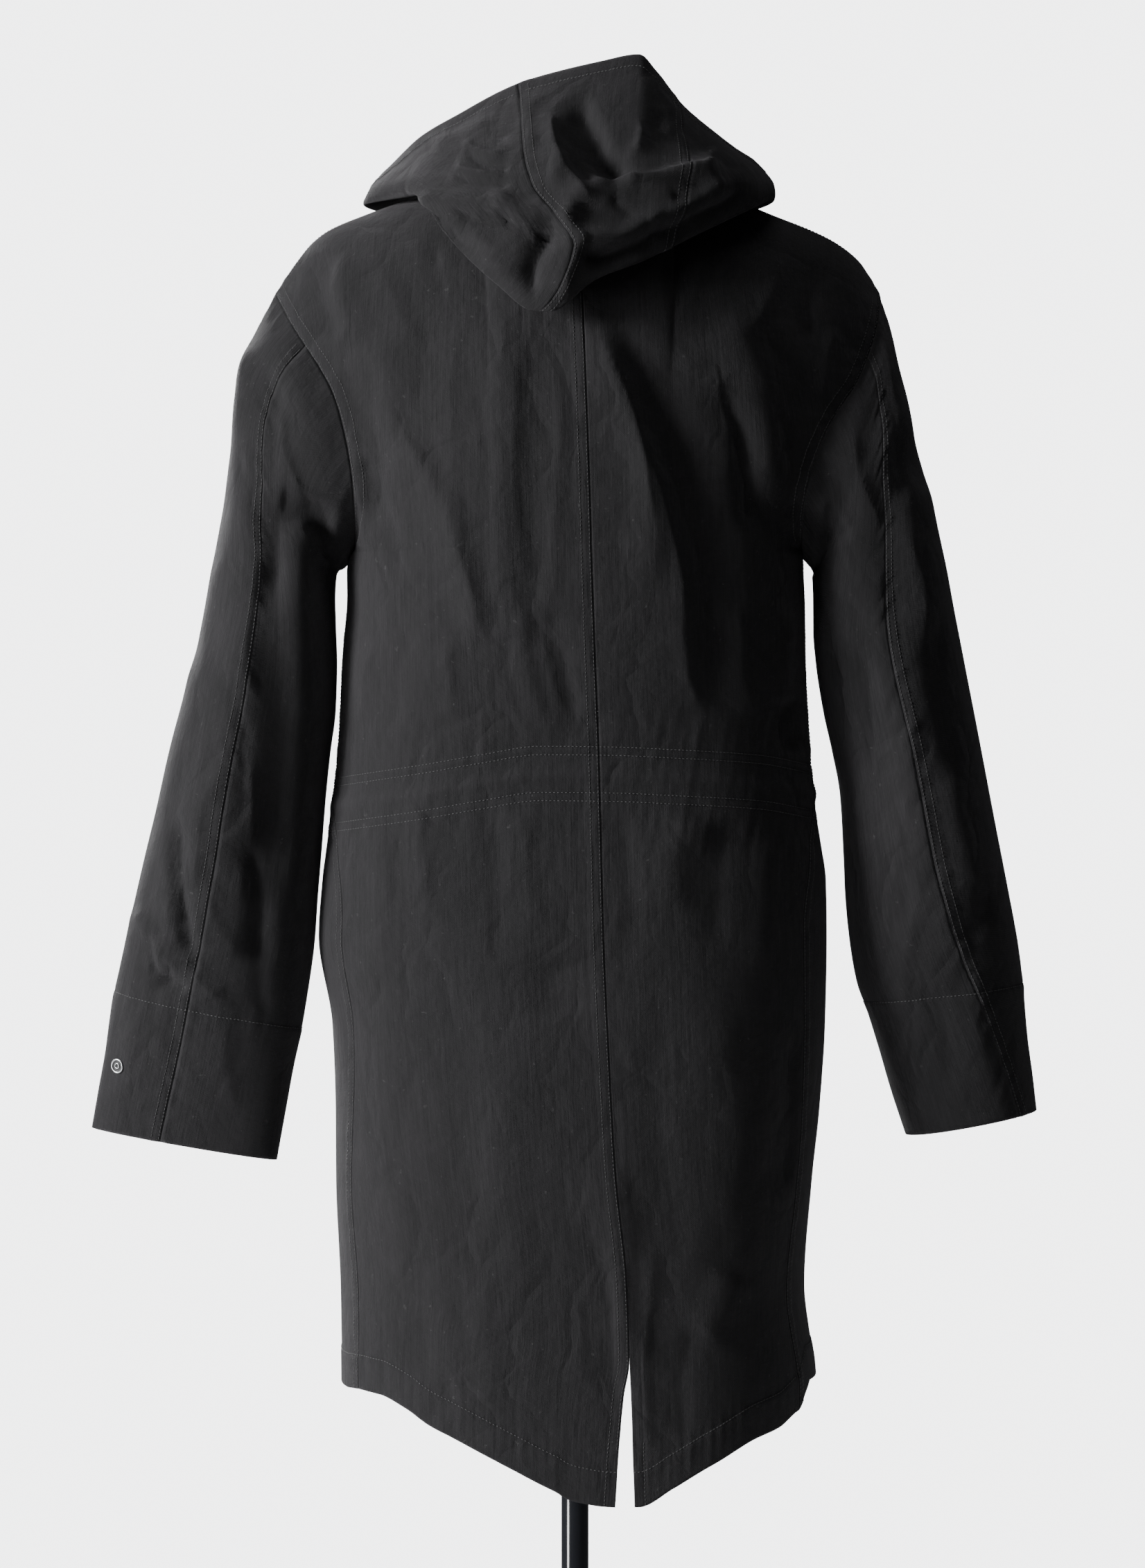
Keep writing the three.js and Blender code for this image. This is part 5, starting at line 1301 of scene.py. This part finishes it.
def pale_floor():
    nodes = Nodes(bpy.data.materials.new("pale_floor"))
    grain = nodes.noise(nodes.place(), 30, 3, 0.5)
    return nodes.surface({
        "Base Color": nodes.colour(grain, FLOOR_DARK, FLOOR_PALE), "Roughness": 0.8 + 0.1 * grain,
    })


bm = bmesh.new()
bmesh.ops.create_circle(bm, cap_ends=True, segments=96, radius=FLOOR_RADIUS,
                        matrix=Matrix.Translation((0, 0, -FLOOR_DROP)))
mesh = bpy.data.meshes.new("floor")
bm.to_mesh(mesh)
bm.free()
mesh.materials.append(pale_floor())
floor = bpy.data.objects.new("floor", mesh)
bpy.context.collection.objects.link(floor)

world = bpy.data.worlds.new("studio")
bpy.context.scene.world = world
sky = Nodes(world)
seen_by_camera = sky.node("LightPath", {}, {}, "Is Camera Ray")
fill = sky.node("Background", {}, {"Color": FILL_COLOUR, "Strength": 0.06})
backdrop = sky.node("Background", {}, {"Color": BACKDROP_COLOUR, "Strength": 4.6})
blend = sky.node("MixShader", {}, {0: seen_by_camera, 1: fill, 2: backdrop})
sky.fill(sky.tree.nodes["World Output"], {"Surface": blend})

LAMPS = [
    ("key", (3.1, 1.4, 1.9), (0.05, 0, 1), 0.9, 255),
    ("low side", (2.7, 1.6, 0.5), (0.1, 0.1, 0.75), 0.8, 55),
    ("top", (0.2, 0.9, 3.4), (0, 0, 1.2), 1.0, 16),
    ("front", (1.7, -2.9, 2.1), (0, 0, 1), 1.2, 130),
]
for name, place, aim, size, power in LAMPS:
    data = bpy.data.lights.new(name, "AREA")
    data.shape = "SQUARE"
    data.size = size
    data.energy = power
    lamp = bpy.data.objects.new(name, data)
    lamp.location = place
    lamp.rotation_euler = (Vector(aim) - Vector(place)).to_track_quat("-Z", "Y").to_euler()
    bpy.context.collection.objects.link(lamp)

camera = bpy.data.objects.new("camera", bpy.data.cameras.new("camera"))
camera.data.sensor_fit = "VERTICAL"
camera.data.sensor_height = 36
camera.data.lens = 90.9
camera.location = (0.002, 3.2, 0.984)
camera.rotation_euler = (math.radians(90), 0, math.radians(180))
bpy.context.collection.objects.link(camera)
bpy.context.scene.camera = camera
